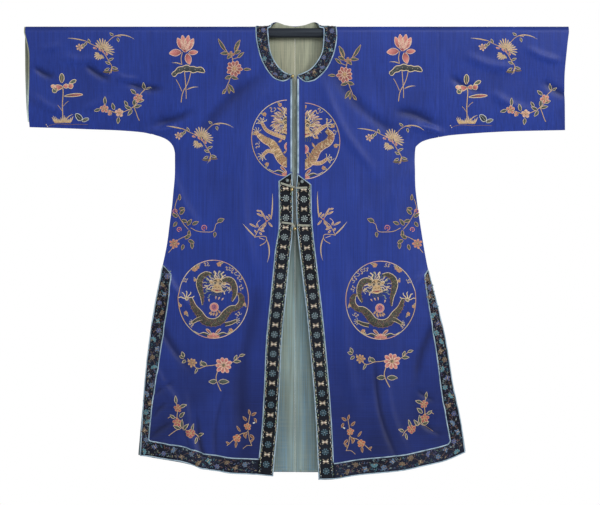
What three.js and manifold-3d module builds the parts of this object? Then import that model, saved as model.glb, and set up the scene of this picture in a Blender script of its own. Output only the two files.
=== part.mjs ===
// An embroidered silk coat hung on a plain wooden rod that passes through both sleeves.
// Millimetres, +Z up, origin on the rod's axis at the middle of the coat. The front faces -Y, and
// right and left are the wearer's, so the right half lies at -X.
//
// The coat is described flat, as cloth: a point of it is (x, s), where s runs along the cloth from
// the top of the fold over the rod, down the front (s > 0) or down the back (s < 0). One function,
// clothPoint, hangs such a point over the rod. Each piece is an outline in (x, s) and a pair of
// depths, measured outwards from the inside of the lining, so the layers nest without touching.
import * as THREE from "three";
import { mergeVertices } from "three/addons/utils/BufferGeometryUtils.js";
import Module from "manifold-3d";

const wasm = await Module();
wasm.setup();

// ---- Driving dimensions ----
const SEAM_GAP = 0.3;
const ROD = { radius: 11.5, rightEnd: -620, leftEnd: 625, sides: 24 };

// Depths of the layers above the inside of the lining.
const LINING_DEPTH = { inner: 0, outer: 0.9 };
const SILK_DEPTH = { inner: 1.2, outer: 2.4 };
const BORDER_DEPTH = { inner: 2.7, outer: 3.7 };
const PIPING_DEPTH = { inner: 2.7, outer: 4.0 };
const STRAP_DEPTH = { inner: 4.3, outer: 5.9 };

// The fold over the rod is a half ring of straight facets that clear the rod.
const FACETS_PER_QUARTER = 2;
const FACET_HALF_ANGLE = Math.PI / 4 / FACETS_PER_QUARTER;
const FOLD_RADIUS = (ROD.radius + 0.35) / Math.cos(FACET_HALF_ANGLE);
const QUARTER = (FOLD_RADIUS * Math.PI) / 2;

const SLEEVE_SEAM_X = 345;
const PIPING_WIDTH = 3;
const HEM_BORDER_WIDTH = 39;
const BACK_SLIT_BORDER = { width: 33, slantWidth: 27, slantDrop: 26 };
const STRAP_WIDTH = 4.5;

// How far the line of the seam is drawn on, past the cuff, and outwards below the slit's top.
const SEAM_BEYOND = { cuff: 80, slit: { x: 120, z: -60 } };

// How far the hanging layers stand apart: each is this far from the middle surface.
const SEAM_HALF = -0.95; // at the sleeve and side seams, where the silk's two layers meet
const HOLLOW_HALF = 11.5; // well inside the coat
const OPENING_RATE = 0.0098; // how fast the hollow opens with distance from the seam
const FOLD_EASE = 120; // height over which the cloth leaves the rod's width

// The lining stops short of the seams and edges.
const LINING_INSET = { seam: 13, slit: 4, hem: 4, opening: 0.6, neck: 0.6, cuff: 1.5 };

// ---- The cut, hung: x of an edge at height z, right and left half ----
const UNDERARM = {
  right: [
    { x: -637, z: -226 },
    { x: -571, z: -228 },
    { x: -494, z: -231 },
    { x: -418, z: -234 },
    { x: -355, z: -240 },
    { x: -317, z: -251 },
    { x: -297, z: -265 },
    { x: -289, z: -283 },
    { x: -288, z: -305 },
    { x: -289, z: -356 },
    { x: -294, z: -409 },
    { x: -300, z: -455 },
    { x: -307, z: -508 },
    { x: -317, z: -556 },
  ],
  left: [
    { x: 648, z: -233 },
    { x: 516, z: -236 },
    { x: 425, z: -241 },
    { x: 360, z: -247 },
    { x: 314, z: -257 },
    { x: 295, z: -268 },
    { x: 288, z: -284 },
    { x: 288, z: -358 },
    { x: 293, z: -409 },
    { x: 301, z: -464 },
    { x: 311, z: -526 },
    { x: 319, z: -567 },
  ],
};

const SLIT_FRONT = {
  right: [
    { x: -341, z: -677 },
    { x: -357, z: -802 },
    { x: -366, z: -916 },
    { x: -371, z: -1015 },
  ],
  left: [
    { x: 340, z: -646 },
    { x: 361, z: -733 },
    { x: 380, z: -848 },
    { x: 398, z: -929 },
    { x: 409, z: -1007 },
  ],
};

const SLIT_BACK = {
  right: [
    { x: -341, z: -677 },
    { x: -358, z: -802 },
    { x: -369, z: -916 },
    { x: -378, z: -1015 },
  ],
  left: [
    { x: 340, z: -646 },
    { x: 361, z: -733 },
    { x: 380, z: -848 },
    { x: 399, z: -929 },
    { x: 411, z: -1006 },
  ],
};

// From the slit corner to the front edge, or to the centre of the back.
const HEM_FRONT = {
  right: [
    { x: -338, z: -1018 },
    { x: -305, z: -1024 },
    { x: -270, z: -1029 },
    { x: -238, z: -1039 },
    { x: -221, z: -1046 },
    { x: -185, z: -1051 },
    { x: -152, z: -1057 },
    { x: -84, z: -1060 },
    { x: -52, z: -1063 },
  ],
  left: [
    { x: 361, z: -1027 },
    { x: 306, z: -1040 },
    { x: 264, z: -1049 },
    { x: 218, z: -1054 },
    { x: 150, z: -1061 },
    { x: 95, z: -1070 },
    { x: 56, z: -1071 },
  ],
};

const HEM_BACK = {
  right: [
    { x: -338, z: -1022 },
    { x: -270, z: -1033 },
    { x: -205, z: -1048 },
    { x: -120, z: -1054 },
    { x: 0, z: -1055 },
  ],
  left: [
    { x: 361, z: -1025 },
    { x: 306, z: -1037 },
    { x: 264, z: -1045 },
    { x: 190, z: -1052 },
    { x: 100, z: -1055 },
    { x: 0, z: -1055 },
  ],
};

// The front edges from under the collar to the hem.
const FRONT_EDGE = {
  right: [
    { x: -6.5, z: -103 },
    { x: -6.5, z: -330 },
    { x: -5.2, z: -372 },
    { x: -5.2, z: -465 },
    { x: -10.6, z: -525 },
    { x: -19.3, z: -617 },
    { x: -31, z: -734 },
    { x: -36, z: -845 },
    { x: -41.5, z: -946 },
    { x: -48.4, z: -1020 },
    { x: -52, z: -1063 },
  ],
  left: [
    { x: 4.8, z: -103 },
    { x: 4.8, z: -330 },
    { x: 2.6, z: -372 },
    { x: 4.5, z: -465 },
    { x: 16, z: -572 },
    { x: 29, z: -687 },
    { x: 41.5, z: -824 },
    { x: 50.5, z: -950 },
    { x: 56, z: -1071 },
  ],
};

// The front borders widen below the waist: { x: width, z: height }.
const BORDER_WIDTH = {
  right: [
    { x: 34, z: -470 },
    { x: 38, z: -525 },
  ],
  left: [
    { x: 36.5, z: -372 },
    { x: 38.5, z: -500 },
  ],
};

// The piping of a front edge above its border: its width, its top, and the room under its slanted end.
const EDGE_PIPING = { width: 4.8, top: -111, clear: 1, slant: 2.5 };

// Heights where a front border's slanted top starts, on the front edge and on the panel side.
const BORDER_TOP = {
  right: { edge: -334, panel: -356 },
  left: { edge: -338, panel: -364 },
};

// The inner edge of each side border on the front, from its slanted top to the hem border.
const SIDE_BORDER_INNER = {
  right: [
    { x: -297, z: -579 },
    { x: -302, z: -637 },
    { x: -315, z: -723 },
    { x: -327, z: -802 },
    { x: -341, z: -889 },
    { x: -350, z: -974 },
  ],
  left: [
    { x: 310, z: -581 },
    { x: 316, z: -627 },
    { x: 329, z: -710 },
    { x: 340, z: -783 },
    { x: 352, z: -874 },
    { x: 371, z: -978 },
  ],
};

// The cuffs: front and back edges of each sleeve's mouth, down from the fold.
const CUFF = {
  right: {
    front: [
      { x: -636.5, z: -44 },
      { x: -636, z: -92 },
      { x: -637.5, z: -149 },
      { x: -639, z: -188 },
    ],
    foldX: -646,
    back: [
      { x: -646.5, z: -23 },
      { x: -645, z: -113 },
      { x: -642, z: -178 },
    ],
  },
  left: {
    front: [
      { x: 651.5, z: -37 },
      { x: 646, z: -105 },
      { x: 647, z: -178 },
    ],
    foldX: 656,
    back: [
      { x: 652, z: -37 },
      { x: 647, z: -105 },
      { x: 647.5, z: -178 },
    ],
  },
};

// The neck: the collar band's inner and outer edges. Fronts are given by height, and the stretch
// over the fold and round the back by s.
const NECK = {
  frontRight: [
    { x: -6.5, z: -103 },
    { x: -29, z: -92 },
    { x: -47.5, z: -70 },
    { x: -58.5, z: -44 },
    { x: -63, z: -10 },
  ],
  round: [
    { x: -64, s: 11 },
    { x: -57, s: 8.5 },
    { x: -44, s: 7 },
    { x: -20, s: -1 },
    { x: 0, s: -3 },
    { x: 20, s: -1 },
    { x: 44, s: 7 },
    { x: 59, s: 8.5 },
    { x: 67, s: 11 },
  ],
  frontLeft: [
    { x: 68, z: -6 },
    { x: 64.5, z: -44 },
    { x: 51.5, z: -70 },
    { x: 33.5, z: -89 },
    { x: 4.8, z: -103 },
  ],
};

const COLLAR_OUTER = {
  frontRight: [
    { x: -11.5, z: -109 },
    { x: -24, z: -116 },
    { x: -36, z: -116 },
    { x: -53, z: -108 },
    { x: -71, z: -85 },
    { x: -84, z: -57 },
    { x: -93, z: -19 },
  ],
  round: [
    { x: -95, s: 8 },
    { x: -92, s: -8 },
    { x: -80, s: -18 },
    { x: -50, s: -25 },
    { x: 0, s: -33 },
    { x: 52, s: -25 },
    { x: 84, s: -18 },
    { x: 97, s: -8 },
    { x: 100, s: 8 },
  ],
  frontLeft: [
    { x: 101, z: -16 },
    { x: 93, z: -53 },
    { x: 76, z: -88 },
    { x: 52, z: -112 },
    { x: 36, z: -118 },
    { x: 24, z: -118 },
    { x: 15.5, z: -112 },
    { x: 9.5, z: -107.5 },
  ],
};

// The right end of the collar's piping runs on to a tip under the neck button.
const COLLAR_TIP = { x: -3, z: -105.5 };

// Straps from the panel to the front edge, by height along their middle lines, and the buttons.
const STRAPS = [
  {
    name: "strap_right_chest",
    path: [
      { x: -34, z: -361 },
      { x: -1.6, z: -371 },
    ],
  },
  {
    name: "strap_left_chest",
    path: [
      { x: 29, z: -371.5 },
      { x: 2.2, z: -372.5 },
    ],
  },
  {
    name: "strap_right_waist",
    path: [
      { x: -31, z: -455 },
      { x: -5.5, z: -458.5 },
      { x: -0.4, z: -470 },
    ],
  },
  {
    name: "strap_left_waist",
    path: [
      { x: 35, z: -462.5 },
      { x: 5, z: -462 },
    ],
  },
];
// A strap's ends are drawn in to a blunt tip: shares of half its width.
const STRAP_TIP = { reach: 0.8, spread: 0.6 };

const BUTTONS = [
  { name: "button_neck", x: -5.5, z: -105.5, depth: PIPING_DEPTH.outer },
  { name: "button_chest", x: -7.6, z: -376, depth: PIPING_DEPTH.outer },
  { name: "button_waist", x: -0.4, z: -470.5, depth: STRAP_DEPTH.outer },
];
const BUTTON = { radius: 4.6, shankRadius: 1.7, shankLength: 1.4, turns: 6, sides: 10 };

// Broad soft folds that both layers share: a ridge runs down from its top at x, coming forward.
const FOLD_LENGTH = 420;
const BROAD_FOLDS = [
  { x: -228, spread: 34, top: -700, forward: 5 },
  { x: -120, spread: 46, top: -520, forward: -3 },
  { x: 40, spread: 60, top: -640, forward: 3 },
  { x: 216, spread: 40, top: -640, forward: 5 },
  { x: 300, spread: 42, top: -600, forward: -3 },
];
// The skirt's side edges turn back behind the slits.
const EDGE_ROLL = { start: 290, width: 120, top: -620, length: 380, back: 15 };

const MATERIALS = {
  wood: material(0x373d46, 0.5, 0),
  silk: material(0x364890, 0.38, 0),
  lining: material(0x99a19b, 0.5, 0),
  border: material(0x232a3c, 0.55, 0),
  sideBorder: material(0x53658c, 0.55, 0),
  piping: material(0xa4c0cc, 0.5, 0),
  strap: material(0x8fa9b6, 0.5, 0),
  gilt: material(0xb08d45, 0.32, 0.9),
};

function material(color, roughness, metalness) {
  return new THREE.MeshStandardMaterial({ color, roughness, metalness, side: THREE.DoubleSide });
}

// ---- Small helpers ----
const TINY = 1e-9;
const WELD = 1e-4; // corners nearer than this are one corner
const clamp = (value, low, high) => Math.min(high, Math.max(low, value));
const mix = (from, to, share) => from + (to - from) * share;
const flat = (x, s) => ({ x, s });
const frontAt = ({ x, z }) => flat(x, QUARTER - z);
const backAt = ({ x, z }) => flat(x, z - QUARTER);

function smooth(low, high, value) {
  const share = clamp((value - low) / (high - low), 0, 1);
  return share * share * (3 - 2 * share);
}

// x on a run of { x, z } points that goes down, at height z.
function xAt(run, z) {
  const next = run.findIndex((point) => point.z <= z);
  if (next <= 0) return next === 0 ? run[0].x : run[run.length - 1].x;
  const [above, below] = [run[next - 1], run[next]];
  return mix(above.x, below.x, (z - above.z) / (below.z - above.z));
}

// z on a run of { x, z } points, at x.
function zAt(run, x) {
  const next = run.findIndex((point, i) => i > 0 && (point.x - x) * (run[i - 1].x - x) <= 0);
  if (next < 0) return Math.abs(x - run[0].x) < Math.abs(x - run.at(-1).x) ? run[0].z : run.at(-1).z;
  const [before, after] = [run[next - 1], run[next]];
  return mix(before.z, after.z, (x - before.x) / (after.x - before.x));
}

// ---- How the cloth hangs ----
// Distance from the seam that closes the sleeve and side, negative beyond it. The line goes on
// straight at the cuff and turns outwards at the slit, where the layers part.
function seamLine(side) {
  const run = UNDERARM[side];
  const outward = side === "right" ? -1 : 1;
  const slitTop = run.at(-1);
  return [
    { x: run[0].x + SEAM_BEYOND.cuff * outward, z: run[0].z },
    ...run,
    { x: slitTop.x + SEAM_BEYOND.slit.x * outward, z: slitTop.z + SEAM_BEYOND.slit.z },
  ];
}

const SEAM_LINES = { right: seamLine("right"), left: seamLine("left") };

function seamDistance(x, z) {
  const side = x < 0 ? "right" : "left";
  const outward = side === "right" ? -1 : 1;
  const line = SEAM_LINES[side];
  let nearest = { distance: Infinity, inside: 1 };
  for (let i = 0; i + 1 < line.length; i += 1) {
    const [a, b] = [line[i], line[i + 1]];
    const [dx, dz] = [b.x - a.x, b.z - a.z];
    const share = clamp(((x - a.x) * dx + (z - a.z) * dz) / (dx * dx + dz * dz), 0, 1);
    const distance = Math.hypot(x - a.x - share * dx, z - a.z - share * dz);
    const inside = (dx * (z - a.z) - dz * (x - a.x)) * outward < 0 ? 1 : -1;
    if (distance < nearest.distance - TINY) nearest = { distance, inside };
  }
  return nearest.distance * nearest.inside;
}

function halfDepth(x, z) {
  const distance = seamDistance(x, z);
  const range = HOLLOW_HALF - SEAM_HALF;
  const opened = distance > 0 ? 1 - Math.exp(-OPENING_RATE * distance) : OPENING_RATE * distance;
  return mix(FOLD_RADIUS, SEAM_HALF + range * opened, smooth(0, FOLD_EASE, -z));
}

function middle(x, z) {
  let y = 0;
  for (const fold of BROAD_FOLDS) {
    const across = (x - fold.x) / fold.spread;
    y -= fold.forward * Math.exp(-across * across) * smooth(fold.top, fold.top - FOLD_LENGTH, z);
  }
  const edge = smooth(EDGE_ROLL.start, EDGE_ROLL.start + EDGE_ROLL.width, Math.abs(x));
  return y + EDGE_ROLL.back * edge * smooth(EDGE_ROLL.top, EDGE_ROLL.top - EDGE_ROLL.length, z);
}

// Round the back of the neck the cloth stands up behind the rod, and does not fold over it.
const STANDING = { fullX: 44, noneX: 72, fullS: QUARTER / 2, noneS: QUARTER };

function standing(x, s) {
  if (s <= -QUARTER) return 0;
  const across = 1 - smooth(STANDING.fullX, STANDING.noneX, Math.abs(x));
  const kept = clamp(across - (1 - across) * Math.max(0, s / STANDING.fullS), 0, 1);
  return kept * (1 - clamp((s - STANDING.fullS) / (STANDING.noneS - STANDING.fullS), 0, 1));
}

function clothPoint(x, s) {
  const below = Math.abs(s) - QUARTER;
  const outward = s < 0 ? 1 : -1;
  if (below > 0) return new THREE.Vector3(x, middle(x, -below) + outward * halfDepth(x, -below), -below);
  const angle = s / FOLD_RADIUS;
  const up = standing(x, s);
  const y = mix(-FOLD_RADIUS * Math.sin(angle), FOLD_RADIUS, up);
  const z = mix(FOLD_RADIUS * Math.cos(angle), QUARTER + s, up);
  return new THREE.Vector3(x, y, z);
}

// ---- The net: rows of knots, joined by triangles, that every piece of cloth follows ----
const COLUMNS = {
  neck: [0, 24, 44, 58, 72, 100, 160, 240, 350, 460, 570, 670],
  sleeve: [0, 66, 150, 240, 350, 460, 570, 670],
  armpit: [0, 80, 160, 230, 270, 310, 365, 460, 570, 670],
  skirt: [0, 80, 160, 230, 300, 360, 425],
};
const ROWS_BELOW_FOLD = [
  ...[50, 105].map((below) => ({ below, columns: COLUMNS.neck })),
  { below: 170, columns: COLUMNS.sleeve },
  ...[220, 265].map((below) => ({ below, columns: COLUMNS.armpit })),
  ...[330, 430, 550, 670, 800, 940, 1095].map((below) => ({
    below,
    columns: COLUMNS.skirt,
  })),
];

function netRows() {
  const rows = [];
  for (let i = -FACETS_PER_QUARTER; i <= FACETS_PER_QUARTER; i += 1) {
    rows.push({ s: (QUARTER * i) / FACETS_PER_QUARTER, columns: COLUMNS.neck });
  }
  for (const { below, columns } of ROWS_BELOW_FOLD) {
    rows.push({ s: QUARTER + below, columns }, { s: -QUARTER - below, columns });
  }
  rows.sort((a, b) => a.s - b.s);
  return rows.map(({ s, columns }) => {
    const mirrored = columns.slice(1).reverse().map((x) => -x);
    const normal = () => new THREE.Vector3();
    return [...mirrored, ...columns].map((x) => ({ x, s, point: clothPoint(x, s), normal: normal() }));
  });
}

// The triangles between two rows, anticlockwise in (x, s), and alike on both sides of the middle.
function strip(lower, upper) {
  const triangles = [];
  let [i, j] = [0, 0];
  while (i + 1 < lower.length || j + 1 < upper.length) {
    const nextLower = lower[i + 1]?.x ?? Infinity;
    const nextUpper = upper[j + 1]?.x ?? Infinity;
    const tied = nextLower === nextUpper;
    if (tied ? upper[j].x >= 0 : nextLower < nextUpper) {
      triangles.push([lower[i], lower[i + 1], upper[j]]);
      i += 1;
    } else {
      triangles.push([lower[i], upper[j + 1], upper[j]]);
      j += 1;
    }
  }
  return triangles;
}

const ROWS = netRows();
const STRIPS = ROWS.slice(1).map((upper, i) => ({
  low: ROWS[i][0].s,
  high: upper[0].s,
  triangles: strip(ROWS[i], upper),
}));

// A knot's normal points outwards, midway between those of the triangles round it.
for (const [a, b, c] of STRIPS.flatMap(({ triangles }) => triangles)) {
  const facet = c.point.clone().sub(a.point).cross(b.point.clone().sub(a.point)).normalize();
  for (const knot of [a, b, c]) knot.normal.add(facet);
}
for (const knot of ROWS.flat()) knot.normal.normalize();

function shares([a, b, c], x, s) {
  const area = (b.x - a.x) * (c.s - a.s) - (c.x - a.x) * (b.s - a.s);
  const ofB = ((x - a.x) * (c.s - a.s) - (c.x - a.x) * (s - a.s)) / area;
  const ofC = ((b.x - a.x) * (s - a.s) - (x - a.x) * (b.s - a.s)) / area;
  return [1 - ofB - ofC, ofB, ofC];
}

// The place on the net at (x, s), and a depth above the inside of the lining.
function onNet(x, s, depth) {
  const band = STRIPS.find(({ high }) => s <= high) ?? STRIPS.at(-1);
  let best = { least: -Infinity };
  for (const triangle of band.triangles) {
    const weights = shares(triangle, x, s);
    const least = Math.min(...weights);
    if (least > best.least) best = { least, weights, triangle };
  }
  const place = new THREE.Vector3();
  best.triangle.forEach(({ point, normal }, i) => {
    place.addScaledVector(point, best.weights[i]).addScaledVector(normal, best.weights[i] * depth);
  });
  return place;
}

// ---- Solids ----
const FLAT_SCALE = 20; // depths are stretched while pieces are cut flat
const CUTTER_REACH = 10 * FLAT_SCALE; // beyond the deepest layer, both ways

function manifoldOf(vertProperties, triVerts, faceID) {
  const mesh = {
    numProp: 3,
    vertProperties: new Float32Array(vertProperties),
    triVerts: new Uint32Array(triVerts),
  };
  if (faceID) mesh.faceID = new Uint32Array(faceID);
  return new wasm.Manifold(new wasm.Mesh(mesh));
}

function manifoldFrom(geometry) {
  const bare = new THREE.BufferGeometry().setAttribute("position", geometry.getAttribute("position"));
  bare.setIndex(geometry.index);
  const merged = mergeVertices(bare, WELD);
  return manifoldOf(merged.getAttribute("position").array, merged.index.array);
}

// The whole net as a flat slab. Each triangle is a face of its own, so the cut keeps all knots.
function netSlab({ inner, outer }) {
  const numbers = new Map();
  const vertices = [];
  const triangles = [];
  for (const row of ROWS) {
    for (const knot of row) {
      numbers.set(knot, vertices.length / 6);
      vertices.push(knot.x, knot.s, inner * FLAT_SCALE, knot.x, knot.s, outer * FLAT_SCALE);
    }
  }
  const [low, high] = [(knot) => numbers.get(knot) * 2, (knot) => numbers.get(knot) * 2 + 1];
  for (const { triangles: faces } of STRIPS) {
    for (const [a, b, c] of faces) triangles.push(high(a), high(b), high(c), low(c), low(b), low(a));
  }
  const rim = [
    ...ROWS[0],
    ...ROWS.slice(1, -1).map((row) => row.at(-1)),
    ...[...ROWS.at(-1)].reverse(),
    ...ROWS.slice(1, -1).reverse().map((row) => row[0]),
  ];
  rim.forEach((knot, i) => {
    const next = rim[(i + 1) % rim.length];
    triangles.push(low(knot), low(next), high(next), low(knot), high(next), high(knot));
  });
  return manifoldOf(vertices, triangles, triangles.slice(0, triangles.length / 3).map((_, i) => i));
}

function prism(outline) {
  const shape = new THREE.Shape(outline.map(({ x, s }) => new THREE.Vector2(x, s)));
  const settings = { depth: 2 * CUTTER_REACH, bevelEnabled: false, steps: 1 };
  const geometry = new THREE.ExtrudeGeometry(shape, settings);
  geometry.translate(0, 0, -CUTTER_REACH);
  return manifoldFrom(geometry);
}

// Hanging the flat solid mirrors it, so its triangles are turned over.
function hang(flatSolid) {
  const mesh = flatSolid.getMesh();
  const positions = [];
  for (let i = 0; i < mesh.numVert; i += 1) {
    const [x, s, height] = mesh.vertProperties.subarray(i * mesh.numProp, i * mesh.numProp + 3);
    positions.push(...onNet(x, s, height / FLAT_SCALE));
  }
  const geometry = new THREE.BufferGeometry();
  geometry.setAttribute("position", new THREE.Float32BufferAttribute(positions, 3));
  geometry.setIndex([...mesh.triVerts].reverse());
  return mergeVertices(geometry, WELD);
}

const SLABS = new Map();

function clothSolid(cutter, depth) {
  if (!SLABS.has(depth)) SLABS.set(depth, netSlab(depth));
  return hang(SLABS.get(depth).intersect(cutter));
}

function clothPiece(outline, depth, hole) {
  const cutter = prism(outline);
  return clothSolid(hole ? cutter.subtract(prism(hole)) : cutter, depth);
}

// ---- Outlines ----
function areaOf(outline) {
  return outline.reduce((sum, a, i) => {
    const b = outline[(i + 1) % outline.length];
    return sum + (a.x * b.s - b.x * a.s) / 2;
  }, 0);
}

// A closed outline drawn in by one distance on all its edges. At a sharp corner the drawn-in corner
// is kept from running far inside.
const SHARPEST = 0.35;

function inset(outline, distance) {
  const turn = Math.sign(areaOf(outline));
  return outline.map((point, i) => {
    const before = outline[(i + outline.length - 1) % outline.length];
    const after = outline[(i + 1) % outline.length];
    const first = direction(before, point);
    const second = direction(point, after);
    const sharpness = Math.max(SHARPEST, 1 + first.x * second.x + first.s * second.s);
    return flat(
      point.x - (turn * distance * (first.s + second.s)) / sharpness,
      point.s + (turn * distance * (first.x + second.x)) / sharpness,
    );
  });
}

function direction(from, to) {
  const length = Math.hypot(to.x - from.x, to.s - from.s);
  return { x: (to.x - from.x) / length, s: (to.s - from.s) / length };
}

// An open run moved sideways, towards its left as it goes.
function moved(run, distance) {
  return run.map((point, i) => {
    const first = direction(run[Math.max(0, i - 1)], run[Math.max(1, i)]);
    const second = direction(run[Math.min(i, run.length - 2)], run[Math.min(i + 1, run.length - 1)]);
    const sharpness = 1 + first.x * second.x + first.s * second.s;
    return flat(
      point.x - (distance * (first.s + second.s)) / sharpness,
      point.s + (distance * (first.x + second.x)) / sharpness,
    );
  });
}

const signOf = (side) => (side === "right" ? -1 : 1);
const bodyUnderarm = (side) => UNDERARM[side].filter(({ x }) => Math.abs(x) < SLEEVE_SEAM_X);
const sleeveUnderarm = (side) => UNDERARM[side].filter(({ x }) => Math.abs(x) > SLEEVE_SEAM_X);

// The neck's edge on one side, from the front opening to the centre of the back.
function neckRun(side) {
  const sign = signOf(side);
  const round = NECK.round.filter(({ x }) => x * sign > 0);
  const centre = flat((sign * SEAM_GAP) / 2, NECK.round.find(({ x }) => x === 0).s);
  return side === "right"
    ? [...NECK.frontRight.map(frontAt), ...round, centre]
    : [...NECK.frontLeft.map(frontAt).reverse(), ...round.reverse(), centre];
}

// One body length: down the front edge, along the hem, up the slit and the seam, over the
// shoulder, down the back, and up the centre back to the neck. Insets draw in the lining's edges.
function bodyOutline(side, { opening, hem, slit, seam, neck }) {
  const sign = signOf(side);
  const atSeam = sign * (SLEEVE_SEAM_X - SEAM_GAP / 2);
  const underarm = [{ x: atSeam, z: zAt(UNDERARM[side], atSeam) }, ...bodyUnderarm(side)];
  const centre = (sign * SEAM_GAP) / 2;
  const hemRun = [FRONT_EDGE[side].at(-1), ...[...HEM_FRONT[side]].reverse().slice(1)];
  const front = [
    ...moved(FRONT_EDGE[side].slice(0, -1).map(frontAt), -sign * opening),
    ...moved(hemRun.map(frontAt), -sign * hem),
    ...moved([...SLIT_FRONT[side]].reverse().map(frontAt), -sign * slit),
    ...moved([...underarm].reverse().map(frontAt), -sign * seam),
  ];
  const back = [
    ...moved(underarm.map(backAt), -sign * seam),
    ...moved(SLIT_BACK[side].map(backAt), -sign * slit),
    ...moved(HEM_BACK[side].slice(0, -1).map(backAt), -sign * hem),
    flat(centre, backAt(HEM_BACK[side].at(-1)).s + hem),
  ];
  const neckEdge = moved(neckRun(side), sign * neck);
  neckEdge.at(-1).x = centre;
  for (const point of [front.at(-1), back[0]]) point.x = atSeam;
  return [...front, ...back, ...neckEdge.reverse().slice(0, -1)];
}

// One sleeve: along the bottom from the body to the cuff, up the mouth, over and down the back.
function sleeveOutline(side, { seam, cuff }) {
  const sign = signOf(side);
  const atSeam = sign * (SLEEVE_SEAM_X + SEAM_GAP / 2);
  const bottom = [...sleeveUnderarm(side), { x: atSeam, z: zAt(UNDERARM[side], atSeam) }];
  const mouth = [
    ...[...CUFF[side].front].reverse().map(frontAt),
    flat(CUFF[side].foldX, 0),
    ...CUFF[side].back.map(backAt),
  ].map(({ x, s }) => flat(x - sign * cuff, s));
  const front = [...bottom].reverse().map(({ x, z }) => frontAt({ x, z: z + seam }));
  const back = bottom.map(({ x, z }) => backAt({ x, z: z + seam }));
  front.at(-1).x -= sign * cuff;
  back[0].x -= sign * cuff;
  return [...front, ...mouth, ...back];
}

const MEETING_REACH = 9;

// Corners of the hem nearer than this to the end of a border, or of its inner side, are left out.
const HEM_CORNER_ROOM = { end: 8, inner: 4 };

// A front border: down the front edge from its slanted top, and back up the panel.
function frontBorderOutline(side) {
  const run = FRONT_EDGE[side];
  const top = BORDER_TOP[side];
  const onPanel = ({ x, z }) => ({ x: x + signOf(side) * xAt(BORDER_WIDTH[side], z), z });
  const edge = run.filter(({ z }) => z < top.edge);
  const panel = [
    onPanel({ x: xAt(run, top.panel), z: top.panel }),
    ...edge.filter(({ z }) => z < top.panel).map(onPanel),
  ];
  panel.at(-1).z = zAt(HEM_FRONT[side], panel.at(-1).x);
  return [{ x: xAt(run, top.edge), z: top.edge }, ...edge, ...panel.reverse()].map(frontAt);
}

// The hem's corners raised to the border's inner side, as far as its corner with the slit's border.
function hemTop(hem, sign, cornerX) {
  return hem
    .filter(({ x }) => sign * (cornerX - x) > HEM_CORNER_ROOM.inner)
    .map(({ x, z }) => ({ x, z: z + HEM_BORDER_WIDTH }));
}

// Where a side border starts beyond the front border, at height z.
function besideFrontBorder(side, z) {
  return xAt(FRONT_EDGE[side], z) + signOf(side) * (xAt(BORDER_WIDTH[side], z) + SEAM_GAP);
}

// A side border on the front: down the slit, along the hem to the front border, and back.
function sideBorderFrontOutline(side) {
  const sign = signOf(side);
  const endX = besideFrontBorder(side, FRONT_EDGE[side].at(-1).z);
  const hem = HEM_FRONT[side].filter(({ x }) => sign * (x - endX) > HEM_CORNER_ROOM.end);
  hem.push({ x: endX, z: zAt(HEM_FRONT[side], endX) });
  const inner = SIDE_BORDER_INNER[side];
  const top = hemTop(hem, sign, inner.at(-1).x);
  top.at(-1).x = besideFrontBorder(side, top.at(-1).z);
  const slit = [UNDERARM[side].at(-1), ...SLIT_FRONT[side]];
  return [...slit, ...hem, ...top.reverse(), ...[...inner].reverse()].map(frontAt);
}

function sideBorderBackOutline(side) {
  const sign = signOf(side);
  const { width, slantWidth, slantDrop } = BACK_SLIT_BORDER;
  const hem = [...HEM_BACK[side].slice(0, -1), { ...HEM_BACK[side].at(-1), x: (sign * SEAM_GAP) / 2 }];
  const slit = [UNDERARM[side].at(-1), ...SLIT_BACK[side]];
  const cornerX = slit.at(-1).x - sign * width;
  const corner = { x: cornerX, z: zAt(HEM_BACK[side], cornerX) + HEM_BORDER_WIDTH };
  const inner = slit.slice(1, -1).map(({ x, z }) => ({ x: x - sign * width, z }));
  const slant = { x: slit[0].x - sign * slantWidth, z: slit[0].z - slantDrop };
  const top = hemTop(hem, sign, cornerX);
  return [...slit, ...hem, ...top.reverse(), corner, ...inner.reverse(), slant].map(backAt);
}

// Where a front and a side border meet above the hem there is no piping between them: the stretch
// that is left open, drawn in by some room at its top and bottom.
function meetingOutline(side, room) {
  const x = besideFrontBorder(side, FRONT_EDGE[side].at(-1).z);
  const z = zAt(HEM_FRONT[side], x);
  const [left, right] = [x - MEETING_REACH, x + MEETING_REACH];
  const [high, low] = [z + HEM_BORDER_WIDTH - PIPING_WIDTH - room, z + PIPING_WIDTH + room];
  return [[left, low], [right, low], [right, high], [left, high]].map(([x, z]) => frontAt({ x, z }));
}

const roundNeck = ({ frontRight, round, frontLeft }) => [
  ...frontRight.map(frontAt),
  ...round,
  ...frontLeft.map(frontAt),
];

const collarOutline = () => [...roundNeck(COLLAR_OUTER), ...roundNeck(NECK).reverse()];

// The strip of piping on a front edge, from the collar's end to the front border's top.
function edgePipingOutline(side) {
  const low = BORDER_TOP[side].edge + EDGE_PIPING.clear;
  const corner = (z, across) => frontAt({ x: xAt(FRONT_EDGE[side], z) + signOf(side) * across, z });
  return [
    corner(EDGE_PIPING.top, 0),
    corner(low, 0),
    corner(low - EDGE_PIPING.slant, EDGE_PIPING.width),
    corner(EDGE_PIPING.top, EDGE_PIPING.width),
  ];
}

function strapOutline({ path }) {
  const run = path.map(frontAt);
  const half = STRAP_WIDTH / 2;
  const tip = (end, along) =>
    [-1, 1].map((aside) => {
      const [forward, across] = [half * STRAP_TIP.reach, half * STRAP_TIP.spread * aside];
      return flat(end.x + forward * along.x - across * along.s, end.s + forward * along.s + across * along.x);
    });
  return [
    ...moved(run, -half),
    ...tip(run.at(-1), direction(run.at(-2), run.at(-1))),
    ...moved(run, half).reverse(),
    ...tip(run[0], direction(run[1], run[0])),
  ];
}

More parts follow.
